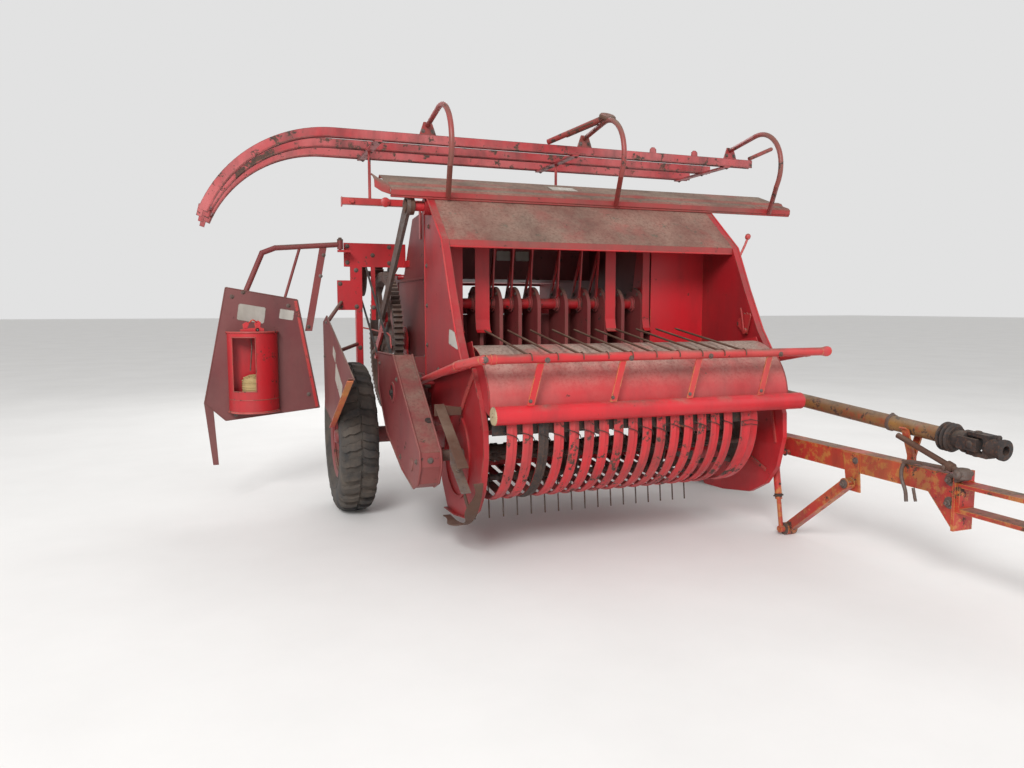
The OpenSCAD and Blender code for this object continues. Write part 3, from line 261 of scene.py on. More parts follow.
# paint: name, colour, faded colour, chips, dust, edge; bare: name, colour, colour of the bloom, seed
MATS = {
    "red": paint("red_paint", (0.54, 0.01, 0.018), (0.46, 0.022, 0.028), 0.42, 0.45, 0.6),
    "red_clean": paint("red_paint_clean", (0.6, 0.012, 0.022), (0.52, 0.022, 0.03), 0.1, 0.25, 0.45,
                       worn=(0.42, 0.2, 0.05), seed=40),
    "red_worn": paint("red_paint_worn", (0.48, 0.02, 0.024), (0.5, 0.075, 0.065), 0.75, 0.6, 0.9, seed=80),
    "red_bar": paint("red_paint_bar", (0.46, 0.02, 0.02), (0.46, 0.085, 0.035), 0.8, 0.55, 1.0, grime=0.7,
                     worn=(0.48, 0.23, 0.05), seed=120, under=(0.5, 0.21, 0.05)),
    "red_band": paint("red_paint_band", (0.56, 0.012, 0.022), (0.5, 0.04, 0.042), 0.9, 0.3, 0.9, grime=0.8,
                      worn=(0.16, 0.1, 0.09), seed=160),
    "hoop": paint("hoop_paint", (0.34, 0.03, 0.032), (0.2, 0.06, 0.045), 0.9, 0.5, 1.0, seed=180),
    "red_guard": paint("red_paint_guard", (0.55, 0.018, 0.024), (0.52, 0.06, 0.055), 0.45, 0.5, 0.8,
                       worn=(0.5, 0.27, 0.08), seed=140),
    "red_hood": paint("red_paint_hood", (0.37, 0.012, 0.018), (0.28, 0.014, 0.018), 0.25, 0.35, 0.7, seed=15),
    "dusty_red": paint("dusty_red_paint", (0.36, 0.024, 0.026), (0.22, 0.06, 0.05), 0.5, 0.95, 0.8, seed=60,
                       rough=0.6),
    "apron": paint("apron_paint", (0.53, 0.03, 0.036), (0.5, 0.085, 0.08), 0.2, 0.85, 0.6, seed=22, rough=0.5,
                   soils=((0.21, 0.175, 0.14), (0.38, 0.33, 0.27))),
    "maroon": paint("dark_red_paint", (0.2, 0.022, 0.026), (0.24, 0.055, 0.05), 0.3, 0.55, 0.7, seed=33,
                    rough=0.55),
    "panel": paint("panel_paint", (0.155, 0.032, 0.034), (0.19, 0.06, 0.056), 0.25, 0.6, 0.8, seed=51, rough=0.6),
    "rail": paint("rail_paint", (0.38, 0.026, 0.032), (0.5, 0.12, 0.12), 0.95, 0.45, 0.95, grime=0.9,
                  worn=(0.06, 0.04, 0.03), seed=71),
    "yellow": paint("yellow_paint", (0.34, 0.175, 0.045), (0.17, 0.085, 0.04), 0.9, 0.6, 0.6, seed=90,
                    under=(0.3, 0.06, 0.025)),
    "steel": bare("worn_steel", (0.17, 0.15, 0.14), (0.1, 0.055, 0.04), 3),
    "rust": bare("rusty_steel", (0.12, 0.065, 0.045), (0.085, 0.038, 0.024), 8, metal=0.35),
    "iron": bare("dark_iron", (0.03, 0.029, 0.03), (0.05, 0.032, 0.026), 13, metal=0.5, dust=0.3),
    "cap": paint("cap_paint", (0.5, 0.4, 0.22), (0.42, 0.33, 0.2), 0.5, 0.8, 0.7, seed=27, rough=0.6),
    "cover_edge": paint("cover_edge_paint", (0.52, 0.035, 0.035), (0.62, 0.28, 0.05), 0.5, 0.3, 0.8, seed=44),
    "label": paint("label_plate", (0.52, 0.5, 0.45), (0.4, 0.37, 0.32), 0.35, 0.5, 0.7, seed=57, rough=0.5),
    "straw": paint("twine_straw", (0.46, 0.33, 0.15), (0.36, 0.25, 0.11), 0.0, 0.3, 0.0, seed=66, rough=0.85),
    "tyre": rubber("tyre_rubber", (0.022, 0.022, 0.023), 0.75),
    "belt": rubber("belt_rubber", (0.03, 0.029, 0.029), 0.55),
}

USE = {
    "red": "twine_can strippers ram_frame feed_strips drive_bracket needle_yoke pitman knotters density_flap "
           "pickup_side_right",
    "red_clean": "feed_panel press_bar",
    "red_worn": "slide_support",
    "red_bar": "drawbar hitch_tongue shaft_cradle stand_leg stand_strut",
    "red_guard": "crop_guard",
    "red_hood": "hood_side_left hood_side_right pickup_side_left",
    "dusty_red": "hood_top slide_board",
    "apron": "apron",
    "maroon": "main_frame gearbox wheel_left wheel_right chamber_wall_left chamber_wall_right chamber_roof "
              "drive_guard ram_plates door_frame",
    "panel": "door_panel side_cover",
    "rail": "slide_rails",
    "yellow": "pto_shaft",
    "steel": "chamber_floor gear_wheel pinion_shaft belt_pulley cross_shaft pickup_reel ram_lever",
    "rust": "hold_down_rods",
    "hoop": "slide_hoops",
    "iron": "pto_yoke",
    "tyre": "tyre_left tyre_right",
    "belt": "v_belt",
}
for key, names in USE.items():
    for name in names.split():
        mesh = NODES[name].data
        mesh.materials.clear()
        mesh.materials.append(MATS[key])


# ---------- shape helpers
def smooth_path(points, steps=6):
    """Catmull-Rom curve through the points."""
    p = [Vector(q) for q in points]
    p = [2 * p[0] - p[1]] + p + [2 * p[-1] - p[-2]]
    out = []
    for i in range(1, len(p) - 2):
        a, b, c, d = p[i - 1], p[i], p[i + 1], p[i + 2]
        for s in range(steps):
            t = s / steps
            out.append(0.5 * (2 * b + (c - a) * t + (2 * a - 5 * b + 4 * c - d) * t * t
                              + (3 * b - a - 3 * c + d) * t ** 3))
    out.append(p[-2])
    return out


def frame_of(axis):
    """A unit vector along the axis and two across it."""
    t = Vector(axis).normalized()
    u = t.orthogonal().normalized()
    return t, u, t.cross(u)


class Piece:
    """Mesh parts drawn in the machine's millimetres, gathered into one object that rides on a body.

    The object is made where the with block of the piece ends.
    """

    BOLT_SCALE = 0.8      # heads are drawn at this share of the size asked
    CORNER = 0.577        # corner radius of a hexagon with a width of 1 across its flats
    POINT = 0.05          # radius that stands for 0 on a turned axis

    def __init__(self, name, body, *mats, bevel=0.0, sharp=38):
        self.name, self.body, self.mats, self.bevel, self.sharp = name, body, mats, bevel, sharp
        self.bm = bmesh.new()
        self.mat = 0

    def __enter__(self):
        return self

    def __exit__(self, kind, *_):
        if kind is None:
            self.done()

    def face(self, verts):
        try:
            f = self.bm.faces.new(verts)
        except ValueError:
            return
        f.material_index = self.mat
        f.smooth = True

    def skin(self, rings, caps=True):
        """Joins closed rings of points by faces, and closes the two ends."""
        rows = [[self.bm.verts.new(P(*q)) for q in ring] for ring in rings]
        n = len(rows[0])
        for a, b in zip(rows, rows[1:]):
            for i in range(n):
                j = (i + 1) % n
                self.face((a[i], a[j], b[j], b[i]))
        if caps:
            self.face(rows[0][::-1])
            self.face(rows[-1])

    def lathe(self, p, axis, profile, n, turn=0.0, ring=False):
        """Turns a profile of (radius, height) about the axis through p in n steps.

        A ring stays open in the middle.
        """
        p = Vector(p)
        a, u, w = frame_of(axis)
        turns = [turn + 2 * pi * k / n for k in range(n)]
        across = [u * cos(t) + w * sin(t) for t in turns]
        rows = profile + profile[:1] if ring else profile
        self.skin([[p + a * h + q * max(r, self.POINT) for q in across] for r, h in rows], caps=not ring)

    def rod(self, points, d, n=10, ends=None):
        """A round rod along the points; ends gives the two end diameters where it tapers."""
        pts = [Vector(q) for q in points]
        turns = [2 * pi * k / n for k in range(n)]
        rings = []
        u = None
        for i, p in enumerate(pts):
            t = (pts[min(i + 1, len(pts) - 1)] - pts[max(i - 1, 0)]).normalized()
            u = t.orthogonal().normalized() if u is None else (u - t * u.dot(t)).normalized()
            w = t.cross(u)
            r = d / 2
            if ends:
                f = i / (len(pts) - 1)
                r = (ends[0] * (1 - f) + ends[1] * f) / 2
            rings.append([p + (u * cos(k) + w * sin(k)) * r for k in turns])
        self.skin(rings)

    def plate(self, axis, at, t, outline):
        """A flat plate: outline in the two other coordinates, from at over t along the axis."""
        def put(q, h):
            return {"x": (h, q[0], q[1]), "y": (q[0], h, q[1]), "z": (q[0], q[1], h)}[axis]
        self.skin([[put(q, at) for q in outline], [put(q, at + t) for q in outline]])

    def bar(self, a, b, w, h, up=UP):
        """A flat bar from a to b, w wide and h thick along up."""
        a, b, up = Vector(a), Vector(b), Vector(up)
        t = (b - a).normalized()
        s = t.cross(up).normalized() * w / 2
        v = s.cross(t).normalized() * h / 2
        self.skin([[e + s + v, e - s + v, e - s - v, e + s - v] for e in (a, b)])

    def bolt(self, p, axis, s, stud=0.0):
        """A washer and a hexagon head with a chamfer, s across the flats, on a stud if given."""
        p, a = Vector(p), Vector(axis).normalized()
        s *= self.BOLT_SCALE
        self.lathe(p - a * 2, a, [(s, 0), (s, 3.4), (s * 0.92, 4)], 16)
        r = s * self.CORNER
        turn = random.uniform(0, 1)
        self.lathe(p, a, [(r, 2), (r, s * 0.52), (r * 0.84, s * 0.62)], 6, turn)
        if stud:
            self.lathe(p, a, [(s * 0.3, s * 0.6), (s * 0.3, s * 0.62 + stud),
                              (s * 0.2, s * 0.62 + stud + 2)], 10)

    def coil(self, a, b, r, d, turns):
        """A helical spring from a to b, of radius r and wire d, in ten steps a turn."""
        a, b = Vector(a), Vector(b)
        u, w = frame_of(b - a)[1:]
        m = int(turns * 10)
        angles = [2 * pi * i / 10 for i in range(m + 1)]
        self.rod([a + (b - a) * (i / m) + (u * cos(t) + w * sin(t)) * r
                  for i, t in enumerate(angles)], d, 6)

    def done(self):
        """Makes the object with its materials, rounded edges and body."""
        mesh = bpy.data.meshes.new(self.name)
        bmesh.ops.recalc_face_normals(self.bm, faces=self.bm.faces)
        self.bm.to_mesh(mesh)
        self.bm.free()
        mesh.set_sharp_from_angle(angle=radians(self.sharp))
        for m in self.mats:
            mesh.materials.append(MATS[m])
        o = self.object = bpy.data.objects.new(self.name, mesh)
        bpy.context.scene.collection.objects.link(o)
        if self.bevel:
            b = o.modifiers.new("Bevel", "BEVEL")
            b.width = self.bevel / 1000
            b.segments = 2
            b.limit_method = "ANGLE"
            b.angle_limit = radians(40)
            b.harden_normals = False
        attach(o, self.body)


def label(p, axis, at, t, centre, w, h, deg=0.0):
    """A bare plate with cut corners, w by h, turned by deg."""
    c, s = cos(radians(deg)), sin(radians(deg))
    a, b, k = w / 2, h / 2, min(w, h) * 0.08
    pts = [(k - a, -b), (a - k, -b), (a, k - b), (a, b - k), (a - k, b), (k - a, b), (-a, b - k), (-a, k - b)]
    p.plate(axis, at, t, [(centre[0] + x * c - y * s, centre[1] + x * s + y * c) for x, y in pts])


# ---------- wheels
TYRE_X = {"wheel_left": -1110, "wheel_right": 1170}
TYRE_R, RIM_R = 410, 203
TYRE_STEPS, BLOCKS = 96, 30


def make_tyre(node, body):
    """Tyre with coarse blocks cut between a centre groove and the shoulders."""
    x0, r, b = TYRE_X[body], TYRE_R, RIM_R
    # Half of the outside and of the inside as (radius, x), from the bead out
    half = [(b - 1, 58), (b + 8, 64), (b + 22.3, 69.7), (b + 34, 80), (b + 40, 78), (b + 50, 86), (b + 70, 95),
            (b + 74, 99), (b + 80, 99), (b + 84, 96.5), (b + 100, 99), (r - 62, 97), (r - 45, 92), (r - 30, 80),
            (r - 19, 55), (r - 16, 12)]
    inner = [(b - 1, 40), (b + 14, 50), (b + 50, 72), (b + 100, 84), (r - 60, 80), (r - 34, 60), (r - 30, 0)]
    outside = half + [(q, -x) for q, x in half[::-1]]
    ring = outside + [(q, -x) for q, x in inner] + [(q, x) for q, x in inner[-2::-1]]
    # Rows of a tread block as (x, lower radius, upper radius), from the groove to the shoulder
    rows = [(5, r - 18, r - 0.5), (36, r - 20, r - 0.5), (62, r - 26, r - 4), (82, r - 40, r - 15),
            (94, r - 54, r - 36)]

    def at(x, q, t):
        return x0 + x, AXLE[0] + q * cos(t), AXLE[1] + q * sin(t)

    with Piece(node + "_tread", body, "tyre", sharp=32) as p:
        p.skin([[at(x, q, 2 * pi * k / TYRE_STEPS) for q, x in ring] for k in range(TYRE_STEPS + 1)],
               caps=False)
        for side in (1, -1):
            for k in range(BLOCKS):
                start = 2 * pi * (k + 0.25 * side) / BLOCKS
                block = []
                for i, (x, low, high) in enumerate(rows):
                    mid = start + i * 0.018 + (0.016 if i % 2 else 0)
                    half_turn = 0.058 - 0.004 * i
                    corners = ((low, -1.08), (low, 1.08), (high, 0.86), (high, -0.86))
                    block.append([at(side * x, q, mid + half_turn * f) for q, f in corners])
                p.skin(block)
    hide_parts(node)


make_tyre("tyre_left", "wheel_left")
make_tyre("tyre_right", "wheel_right")

for body, out in (("wheel_left", -1), ("wheel_right", 1)):
    x0, axis = TYRE_X[body], (out, 0, 0)
    with Piece(body + "_nuts", body, "steel") as p:
        for k in range(5):
            p.bolt((x0 + out * 18, *on_circle(AXLE, 72, 36 + 72 * k)), axis, 19, 6)
        # the valve
        p.rod([(x0 + out * 55, *on_circle(AXLE, 186, 20)), (x0 + out * 86, *on_circle(AXLE, 176, 20))], 9)
    with Piece(body + "_hub_cap", body, "maroon") as p:
        p.lathe((x0, *AXLE), axis, [(40, 52), (46, 58), (46, 62), (40, 66), (38, 76), (30, 83), (12, 86)], 28)
        p.lathe((x0, *AXLE), axis, [(58, 18), (58, 24), (52, 27)], 28)
        for r, h in ((221, 70), (196, 58)):
            p.lathe((x0, *AXLE), axis, [(r - 3, h - 3), (r, h), (r, h + 4), (r - 4, h + 6), (r - 8, h + 2)], 56,
                    ring=True)

# ---------- pick-up
BAND_C = (242, 592)
BAND_R = 318
BAND_PITCH, FIRST_BAND = 70, -660
# Middle and width of 16 bands and of the wide one at the right
BANDS = [(FIRST_BAND + i * BAND_PITCH, 45) for i in range(16)] + [(505, 90)]
GREY_BAND = 2


def on_band(deg, r):
    return on_circle(BAND_C, r, deg)


def band_bottom(y):
    """Height of the bands' straight part under the reel."""
    return BAND_C[1] - BAND_R + (y - BAND_C[0]) * 44 / 448


with Piece("band_covers", "pickup", "red_band", "iron", sharp=60) as p:
    for i, (x, w) in enumerate(BANDS):
        p.mat = 1 if i == GREY_BAND else 0
        half = w / 2 + 0.4
        cross = [(-half, 0.2), (-half + 1, 2.2), (-half + 7, 3.4), (-5.5, 3.6), (-2, 7.4), (2, 7.4), (5.5, 3.6),
                 (half - 7, 3.4), (half - 1, 2.2), (half, 0.2)]
        bend = [[(x + dx, *on_band(164 + (270 - 164) * k / 26, BAND_R + h)) for dx, h in cross] for k in range(27)]
        p.skin(bend + [[(x + dx, y, band_bottom(y) - h) for dx, h in cross] for y in (342, 442, 542, 642)])

with Piece("band_wires", "pickup", "iron") as p:
    for x, w in BANDS[:-1]:
        j = random.uniform(-1.2, 1.2)
        wire = ((-34, 177, 312), (-22, 178, 328), (-4, 179, 329), (18, 181, 327), (34, 185, 314))
        p.rod(smooth_path([(x + dx, *on_band(deg + j, r)) for dx, deg, r in wire], 4), 4.2, 6)
    x, w = BANDS[-1]
    for dy in (0, 3.5):
        p.rod([(x - 46, *on_band(178 + dy, 326)), (x, *on_band(177 + dy, 330)),
               (x + 46, *on_band(178.5 + dy, 326))], 3.4, 6)

with Piece("band_rivets", "pickup", "steel") as p:
    for x, w in BANDS:
        for y in (300, 620):
            p.lathe((x, y, band_bottom(y) - 3), DOWN, [(8, 0), (7, 3), (3, 5)], 10)

with Piece("tine_coils", "reel", "steel") as p:
    for k in range(4):
        tine_bar = on_circle(REEL, 120, 90 * k)
        for i in range(17):
            x = FIRST_BAND + (i - 0.5) * BAND_PITCH
            for x0, x1 in ((x - 16, x - 3), (x + 3, x + 16)):
                p.coil((x0, *tine_bar), (x1, *tine_bar), 17.5, 5.5, 2.5)

with Piece("pickup_straps", "pickup", "red_worn", bevel=1.5) as p:
    p.skin([[(-752, y, z), (-745.5, y, z), (-745.5, y + 20, z + 20), (-752, y + 20, z + 20)]
            for y, z in ((140, 838), (245, 740), (345, 640))])
    p.bar((737, 275, 392), (737, 85, 324), 16, 8, RIGHT)
    p.bar((737, 20, 470), (737, 60, 640), 14, 8, RIGHT)
    for y0, z0, y1, z1 in ((35, 741, 121, 862), (15, 350, -25, 501)):
        p.bar((-756, y0 + 12, z0), (-756, y1 + 12, z1), 6, 18, RIGHT)

with Piece("apron_ends", "pickup", "red_hood") as p:
    lip = [on_circle((220, 690), 265, a) for a in range(182, 119, -6)]
    for x in (-748, 741.5):
        p.plate("x", x, 6.5, lip + [(124, 868), (40, 741), (18, 699)])

with Piece("band_rail", "pickup", "iron") as p:
    p.plate("y", -62, 4, [(-741, 600), (560, 600), (560, 673), (-741, 673)])

with Piece("skid_shoe", "pickup", "rust", bevel=1.2) as p:
    path = smooth_path([(-30, 400, 0), (8, 318, 0), (80, 232, 0), (200, 168, 0), (350, 140, 0), (480, 138, 0)])
    rings = []
    for i, (y, z, _) in enumerate(path):
        worn = -812 + 14 * sin(i * 0.5)      # the bent outer edge
        rings.append([(worn, y, z - 3), (-767, y, z - 3), (-767, y, z + 3), (worn, y, z + 3)])
    p.skin(rings)
    p.bar((-778, 120, 225), (-778, 210, 300), 30, 6, RIGHT)

with Piece("guard_strap", "pickup", "rust", bevel=1.5) as p:
    p.bar((-861, 315, 690), (-861, -52, 476), 46, 8)
    p.plate("y", 306, 8, [(-884, 640), (-760, 640), (-760, 676), (-884, 692)])

with Piece("guard_scraper", "pickup", "steel", bevel=1) as p:
    p.bar((-850, 105, 462), (-850, -55, 372), 42, 5)
    p.bar((-850, 105, 462), (-850, 118, 552), 42, 5, BACK)
    p.bolt((-850, 60, 444), (0, -0.5, 1), 15)

# Outline of the slanted drive guard, as (y, z)
GUARD = [(700, 892), (175, 505), (168, 440), (215, 360), (300, 325), (530, 365), (880, 490), (1090, 700),
         (1090, 885)]
RIM = GUARD[:7] + [(1000, 610)]
HUB = (719, 708)

with Piece("drive_guard_rim", "pickup", "maroon", sharp=50) as p:
    p.rod([(-984, y, z) for y, z in GUARD + GUARD[:1]], 11, 8)
    p.rod([(-891, y, z) for y, z in RIM], 11, 8)
    p.lathe((GUARD_X, *HUB), LEFT, [(52, 0), (52, 4), (46, 7), (38, 7), (38, 0)], 28, ring=True)
    p.lathe((GUARD_X, 330, 425), LEFT, [(30, 0), (28, 5), (8, 7)], 24)

with Piece("drive_guard_dark", "pickup", "iron") as p:
    p.lathe((GUARD_X - 1, *HUB), LEFT, [(37, 0), (37, 3), (10, 4)], 24)
    p.lathe((GUARD_X - 1, *HUB), LEFT, [(14, 3), (14, 14), (8, 16)], 8)
    # a dark disc as painted shade for a hole in the slanted front edge
    out = Vector((0, -387, 525)).normalized()
    p.lathe(Vector((-906, 330, 619)) + out, out, [(17, 0), (17, 1.2)], 20)

with Piece("drive_guard_bolts", "pickup", "steel") as p:
    for y, z in ((235, 455), (560, 420), (1040, 830), (620, 780)):
        p.bolt((GUARD_X, y, z), LEFT, 17)
    p.bolt((-940, 170, 470), (0, -1, -0.2), 17)

# ---------- crop guard
with Piece("guard_bolts", "crop_guard", "steel") as p:
    for x in (-522, -137, 259, 636):
        p.bolt((x, -118, 908), FRONT, 15)
    p.bolt((-788, -118, 915), (-0.25, -1, 0), 17)
    p.bolt((-862, *GUARD_HINGE), LEFT, 27, 8)
    p.lathe((859, *GUARD_HINGE), RIGHT, [(17, 0), (17, 2), (9, 2.6), (9, 4)], 20)
    for x in (-590, -215, 165, 545):
        p.bolt((x, -104, 742), FRONT, 10)

with Piece("guard_end", "crop_guard", "red_guard", sharp=50) as p:
    turns = [2 * pi * k / 20 for k in range(20)]
    p.skin([[(x, GUARD_TUBE[0] + a * cos(t), GUARD_TUBE[1] + b * sin(t)) for t in turns]
            for x, a, b in ((880, 19, 19), (894, 15, 21), (908, 8, 24), (922, 5, 24), (936, 4, 19), (944, 3, 10))])

with Piece("guard_collars", "crop_guard", "red_guard", sharp=50) as p:
    for a, b, at, d in (((-838, *GUARD_HINGE), (-838, 70, 884), 0.948, 36),
                        ((838, *GUARD_HINGE), (838, *GUARD_TUBE), 0.957, 33),
                        ((-790, *GUARD_TUBE), (0, *GUARD_TUBE), 0.05, 38)):
        a, b = Vector(a), Vector(b)
        t = (b - a).normalized()
        p.lathe(a + (b - a) * at, t, [(d / 2 - 1, -13), (d / 2 + 2.5, -11), (d / 2 + 2.5, 11), (d / 2 - 1, 13)], 20)

with Piece("press_bar_cap", "crop_guard", "cap") as p:
    p.lathe((-745, *PRESS_BAR), LEFT, [(37.6, -6), (38.4, 0), (36, 4), (14, 6)], 28)
    p.lathe((-751, -96, 690), LEFT, [(10, 0), (8, 3), (3, 4)], 10)

with Piece("press_bar_end", "crop_guard", "red") as p:
    p.lathe((775, *PRESS_BAR), RIGHT, [(37.6, -6), (38.4, 0), (36, 4), (14, 5)], 28)

with Piece("rod_clips", "crop_guard", "rust") as p:
    for i in range(10):
        x = -600 + i * 115
        p.rod([(x + 10, *on_circle(GUARD_TUBE, 21.5, a)) for a in range(-20, 201, 20)], 5, 6)
        p.rod([(x, 440, 1010), (x, 452, 1013)], 10, ends=(10, 7))

# ---------- hood and feed
with Piece("hood_bolts", "root", "steel") as p:
    for y, z in ((371, 1098), (350, 1066), (800, 1520), (850, 1330), (850, 1130), (850, 930), (560, 1440),
                 (640, 820)):
        p.bolt((-HOOD_X, y, z), LEFT, 16)
    for y, z in ((850, 1560), (850, 1330), (850, 1100), (850, 880), (560, 1440), (330, 1000), (480, 900)):
        p.bolt((HOOD_X, y, z), RIGHT, 16)
    TOP_SLOPE = 41 / 187
    for x in (-640, -240, 160, 560):
        p.bolt((x, 860, 1641 + 157 * TOP_SLOPE), (0, -TOP_SLOPE, 1), 15)
    for x in (-670, -650, -545, -512, 180, 200, 395, 415):
        p.bolt((x, 686, 1607), FRONT, 12)

with Piece("hood_rims", "root", "red", sharp=50) as p:
    FRONT_EDGE = [(121, 868), (227, 1007), (340, 1210), (451, 1431), (703, 1641)]
    for s in (-1, 1):
        p.rod([(s * 807, y, z) for y, z in FRONT_EDGE], 9, 8)
        p.rod([(s * HOOD_X, 890, z) for z in (765, 1678)], 8, 8)
        p.rod([(s * HOOD_X, y, z) for y, z in ((121, 868), (500, 805), (890, 764))], 8, 8)
    p.rod([(-770, 451, 1399), (770, 451, 1399)], 9, 8)
    p.bar((-720, 888, 1668), (720, 888, 1668), 10, 24)

with Piece("hood_sector", "root", "red_worn", bevel=0.8) as p:
    teeth = []
    for k, a in enumerate(range(20, 121, 8)):
        share = 1.0 if k % 2 else 0.9
        teeth.append((300 + 86 * cos(radians(a)) * share, 1000 + 96 * sin(radians(a)) * share))
    p.plate("x", 756, 6, [(290, 985), (318, 985)] + teeth)
    p.rod([(748, 305, 1000), (744, 318, 1080), (738, 322, 1118)], 11, 10)
    p.lathe((764, 304, 1000), LEFT, [(16, 0), (16, 18), (10, 20)], 16)

with Piece("feed_lever", "root", "red_worn") as p:
    p.rod(smooth_path([(922, 604, 1360), (934, 602, 1405), (962, 600, 1462), (981, 600, 1507)], 4), 13, 10)
    p.lathe((975, 600, 1495), (0.35, 0, 1), [(10, 0), (15, 8), (15, 22), (8, 30)], 14)
    p.rod([(922, 604, 1360), (860, 604, 1352), (776, 604, 1350)], 13, 10)
    p.lathe((776, 604, 1350), RIGHT, [(26, 0), (26, 10), (14, 14)], 18)

with Piece("label_plates", "root", "label") as p:
    label(p, "x", -776.4, 1.4, (372, 978), 150, 70, 8)
    label(p, "x", -1225.6, 1.6, (862, 752), 235, 96, 24)
    label(p, "x", -1225.6, 1.6, (1004, 884), 96, 52, 22)
    for x in (-140, -17):
        label(p, "y", 1473.5, 2, (x, 1432), 86, 58)
    p.bar((-20, 822, 1734.6), (-20, 905, 1765.2), 150, 1.6)

with Piece("door_labels", "string_door", "label") as p:
    label(p, "y", 1579.0, 1.6, (-1601, 1086), 146, 92, -9)
    label(p, "y", 1579.0, 1.6, (-1411, 1080), 78, 56, -9)

# ---------- string door and twine can
FACE = 1580.7            # front face of the door panel, as y
DOOR_HINGE = (-1100, 1600)
CAN = (-1600, FACE)      # axis of the half-round can, as (x, y)
CAN_R = 135
WINDOW = (-1709, -1589)


def can_front(x, r):
    """The y of the can's round front at x."""
    return FACE - sqrt(r ** 2 - (x - CAN[0]) ** 2)


with Piece("can_rims", "string_door", "red_worn", sharp=50) as p:
    for z, d in ((541, 12), (984, 12), (612, 5)):
        p.rod([(*on_circle(CAN, CAN_R + 1, a), z) for a in range(180, 361, 6)], d, 8)
    for x in WINDOW:
        p.rod([(x, can_front(x, CAN_R), z) for z in (660, 955)], 6, 8)
    for z in (658, 957):
        p.rod([(x, can_front(x, CAN_R + 0.5), z) for x in range(WINDOW[0], WINDOW[1] + 1, 12)], 7, 8)

with Piece("can_back", "string_door", "red") as p:
    p.plate("y", FACE - 2, 1.7, [(-1722, 548), (-1478, 548), (-1478, 980), (-1722, 980)])

with Piece("can_bracket", "string_door", "red_clean", bevel=1) as p:
    p.plate("y", 1476, 5, [(-1665, 986), (-1540, 986), (-1540, 1004), (-1560, 1012), (-1640, 1004), (-1665, 1000)])
    p.plate("y", 1476, 5, [(-1650, 1004), (-1628, 1006), (-1618, 1030), (-1630, 1042), (-1652, 1030)])
    p.plate("y", 1476, 5, [(-1588, 1006), (-1560, 1010), (-1556, 1040), (-1572, 1050), (-1590, 1034)])
    p.bar((-1600, 1478, 990), (-1600, FACE, 990), 90, 5)
    p.rod(smooth_path([(-1620, 1474, 1034), (-1600, 1462, 1052), (-1578, 1474, 1040)], 5), 8, 8)

with Piece("can_rod", "string_door", "steel") as p:
    p.rod([(-1612, 1520, 984), (-1606, 1514, 900), (-1618, 1512, 770)], 7, 8)
    p.bolt((-1575, 1478, 998), FRONT, 14)

with Piece("twine_ball", "string_door", "straw", sharp=70) as p:
    cx, cy = -1604, 1513
    p.lathe((cx, cy, 548), UP, [(48, 0), (57, 10), (58, 150), (52, 180), (34, 192), (14, 192), (13, 150)], 30)
    # twine wound round the side, down and up again in 24 turns of 16 steps, and across the top
    steps = 24 * 16
    side = []
    for i in range(steps):
        t = 2 * pi * i / 16
        z = 556 + 166 * abs(((i / steps * 3.0) % 2) - 1) + 6 * sin(t * 0.5)
        side.append((cx + 58.5 * cos(t), cy + 58.5 * sin(t), z))
    p.rod(side, 7.5, 6)
    loop = ((52, 0, 732), (16, 1.2, 746), (49, 2.6, 734))
    for k in range(8):
        a = 0.78 * k
        p.rod(smooth_path([(cx + r * cos(a + d), cy + r * sin(a + d), z) for r, d, z in loop], 5), 7, 6)

# Outline of the door's panel, as (x, z); the rim stays inside its left corner
PANEL = [(-1732, 1230), (-1350, 1163), (-1242, 542), (-1755, 490), (-1860, 593)]

with Piece("door_rims", "string_door", "panel", sharp=50) as p:
    for a, b in zip(PANEL, PANEL[1:] + PANEL[:1]):
        p.rod([(x, FACE + 2, z) for x, z in (a, b)], 8, 8)

with Piece("door_edge", "string_door", "red_worn", bevel=1) as p:
    p.bar((-1360, FACE - 2.5, 1158), (-1254, FACE - 2.5, 546), 20, 5, BACK)

with Piece("door_bolts", "string_door", "steel") as p:
    for x, z in ((-1700, 1180), (-1400, 1130), (-1300, 620), (-1700, 520), (-1640, 1204)):
        p.bolt((x, FACE, z), FRONT, 15)
    p.lathe((*DOOR_HINGE, 1506), UP, [(17, 0), (17, 3), (12, 3)], 18)
    for x, z in ((-1195, 1420), (-1215, 1300), (-1290, 1010)):
        p.bolt((x, 1596, z), FRONT, 14)

# ---------- side cover and bracket
BRACKET_Y = 1670
# Outline of the cover in front of the left wheel, as (y, z)
COVER = [(393, 809), (1293, 1074), (1440, 1040), (1440, 560), (1072, 502)]

with Piece("cover_rims", "root", "panel", sharp=50) as p:
    for a, b in zip(COVER, COVER[1:] + COVER[:1]):
        p.rod([(-1222, *a), (-1222, *b)], 8, 8)

with Piece("cover_front", "root", "cover_edge", bevel=1) as p:
    p.bar((-1237, 400, 800), (-1237, 1062, 500), 28, 5, (0, 1, 1))

with Piece("bracket_bolts", "root", "steel") as p:
    for x, z in ((-1050, 1480), (-1050, 1385), (-800, 1480), (-800, 1385), (-900, 1430), (-1095, 1260),
                 (-1095, 1125), (-1000, 1340), (-1000, 1125), (-899, 1120)):
        p.bolt((x, BRACKET_Y, z), FRONT, 17)
    p.bolt((*DOOR_HINGE, 1512), UP, 22)
    for z in (880, 520):
        p.bolt((-984, BRACKET_Y, z), FRONT, 17)
    for y, z in ((1300, 1040), (1400, 850)):
        p.bolt((COVER_X, y, z), LEFT, 15)

with Piece("belt_hook", "root", "red_worn") as p:
    p.rod([(-968, 1668, 1000), (-925, 1580, 990), (-924, 1130, 982), (-924, 1060, 968), (-924, 1042, 905)], 9, 8)

with Piece("belt_clip", "root", "iron") as p:
    p.rod([(-985, 1705, 1110), (-985, 1740, 1160), (-975, 1745, 1290), (-970, 1700, 1350)], 16, 10)

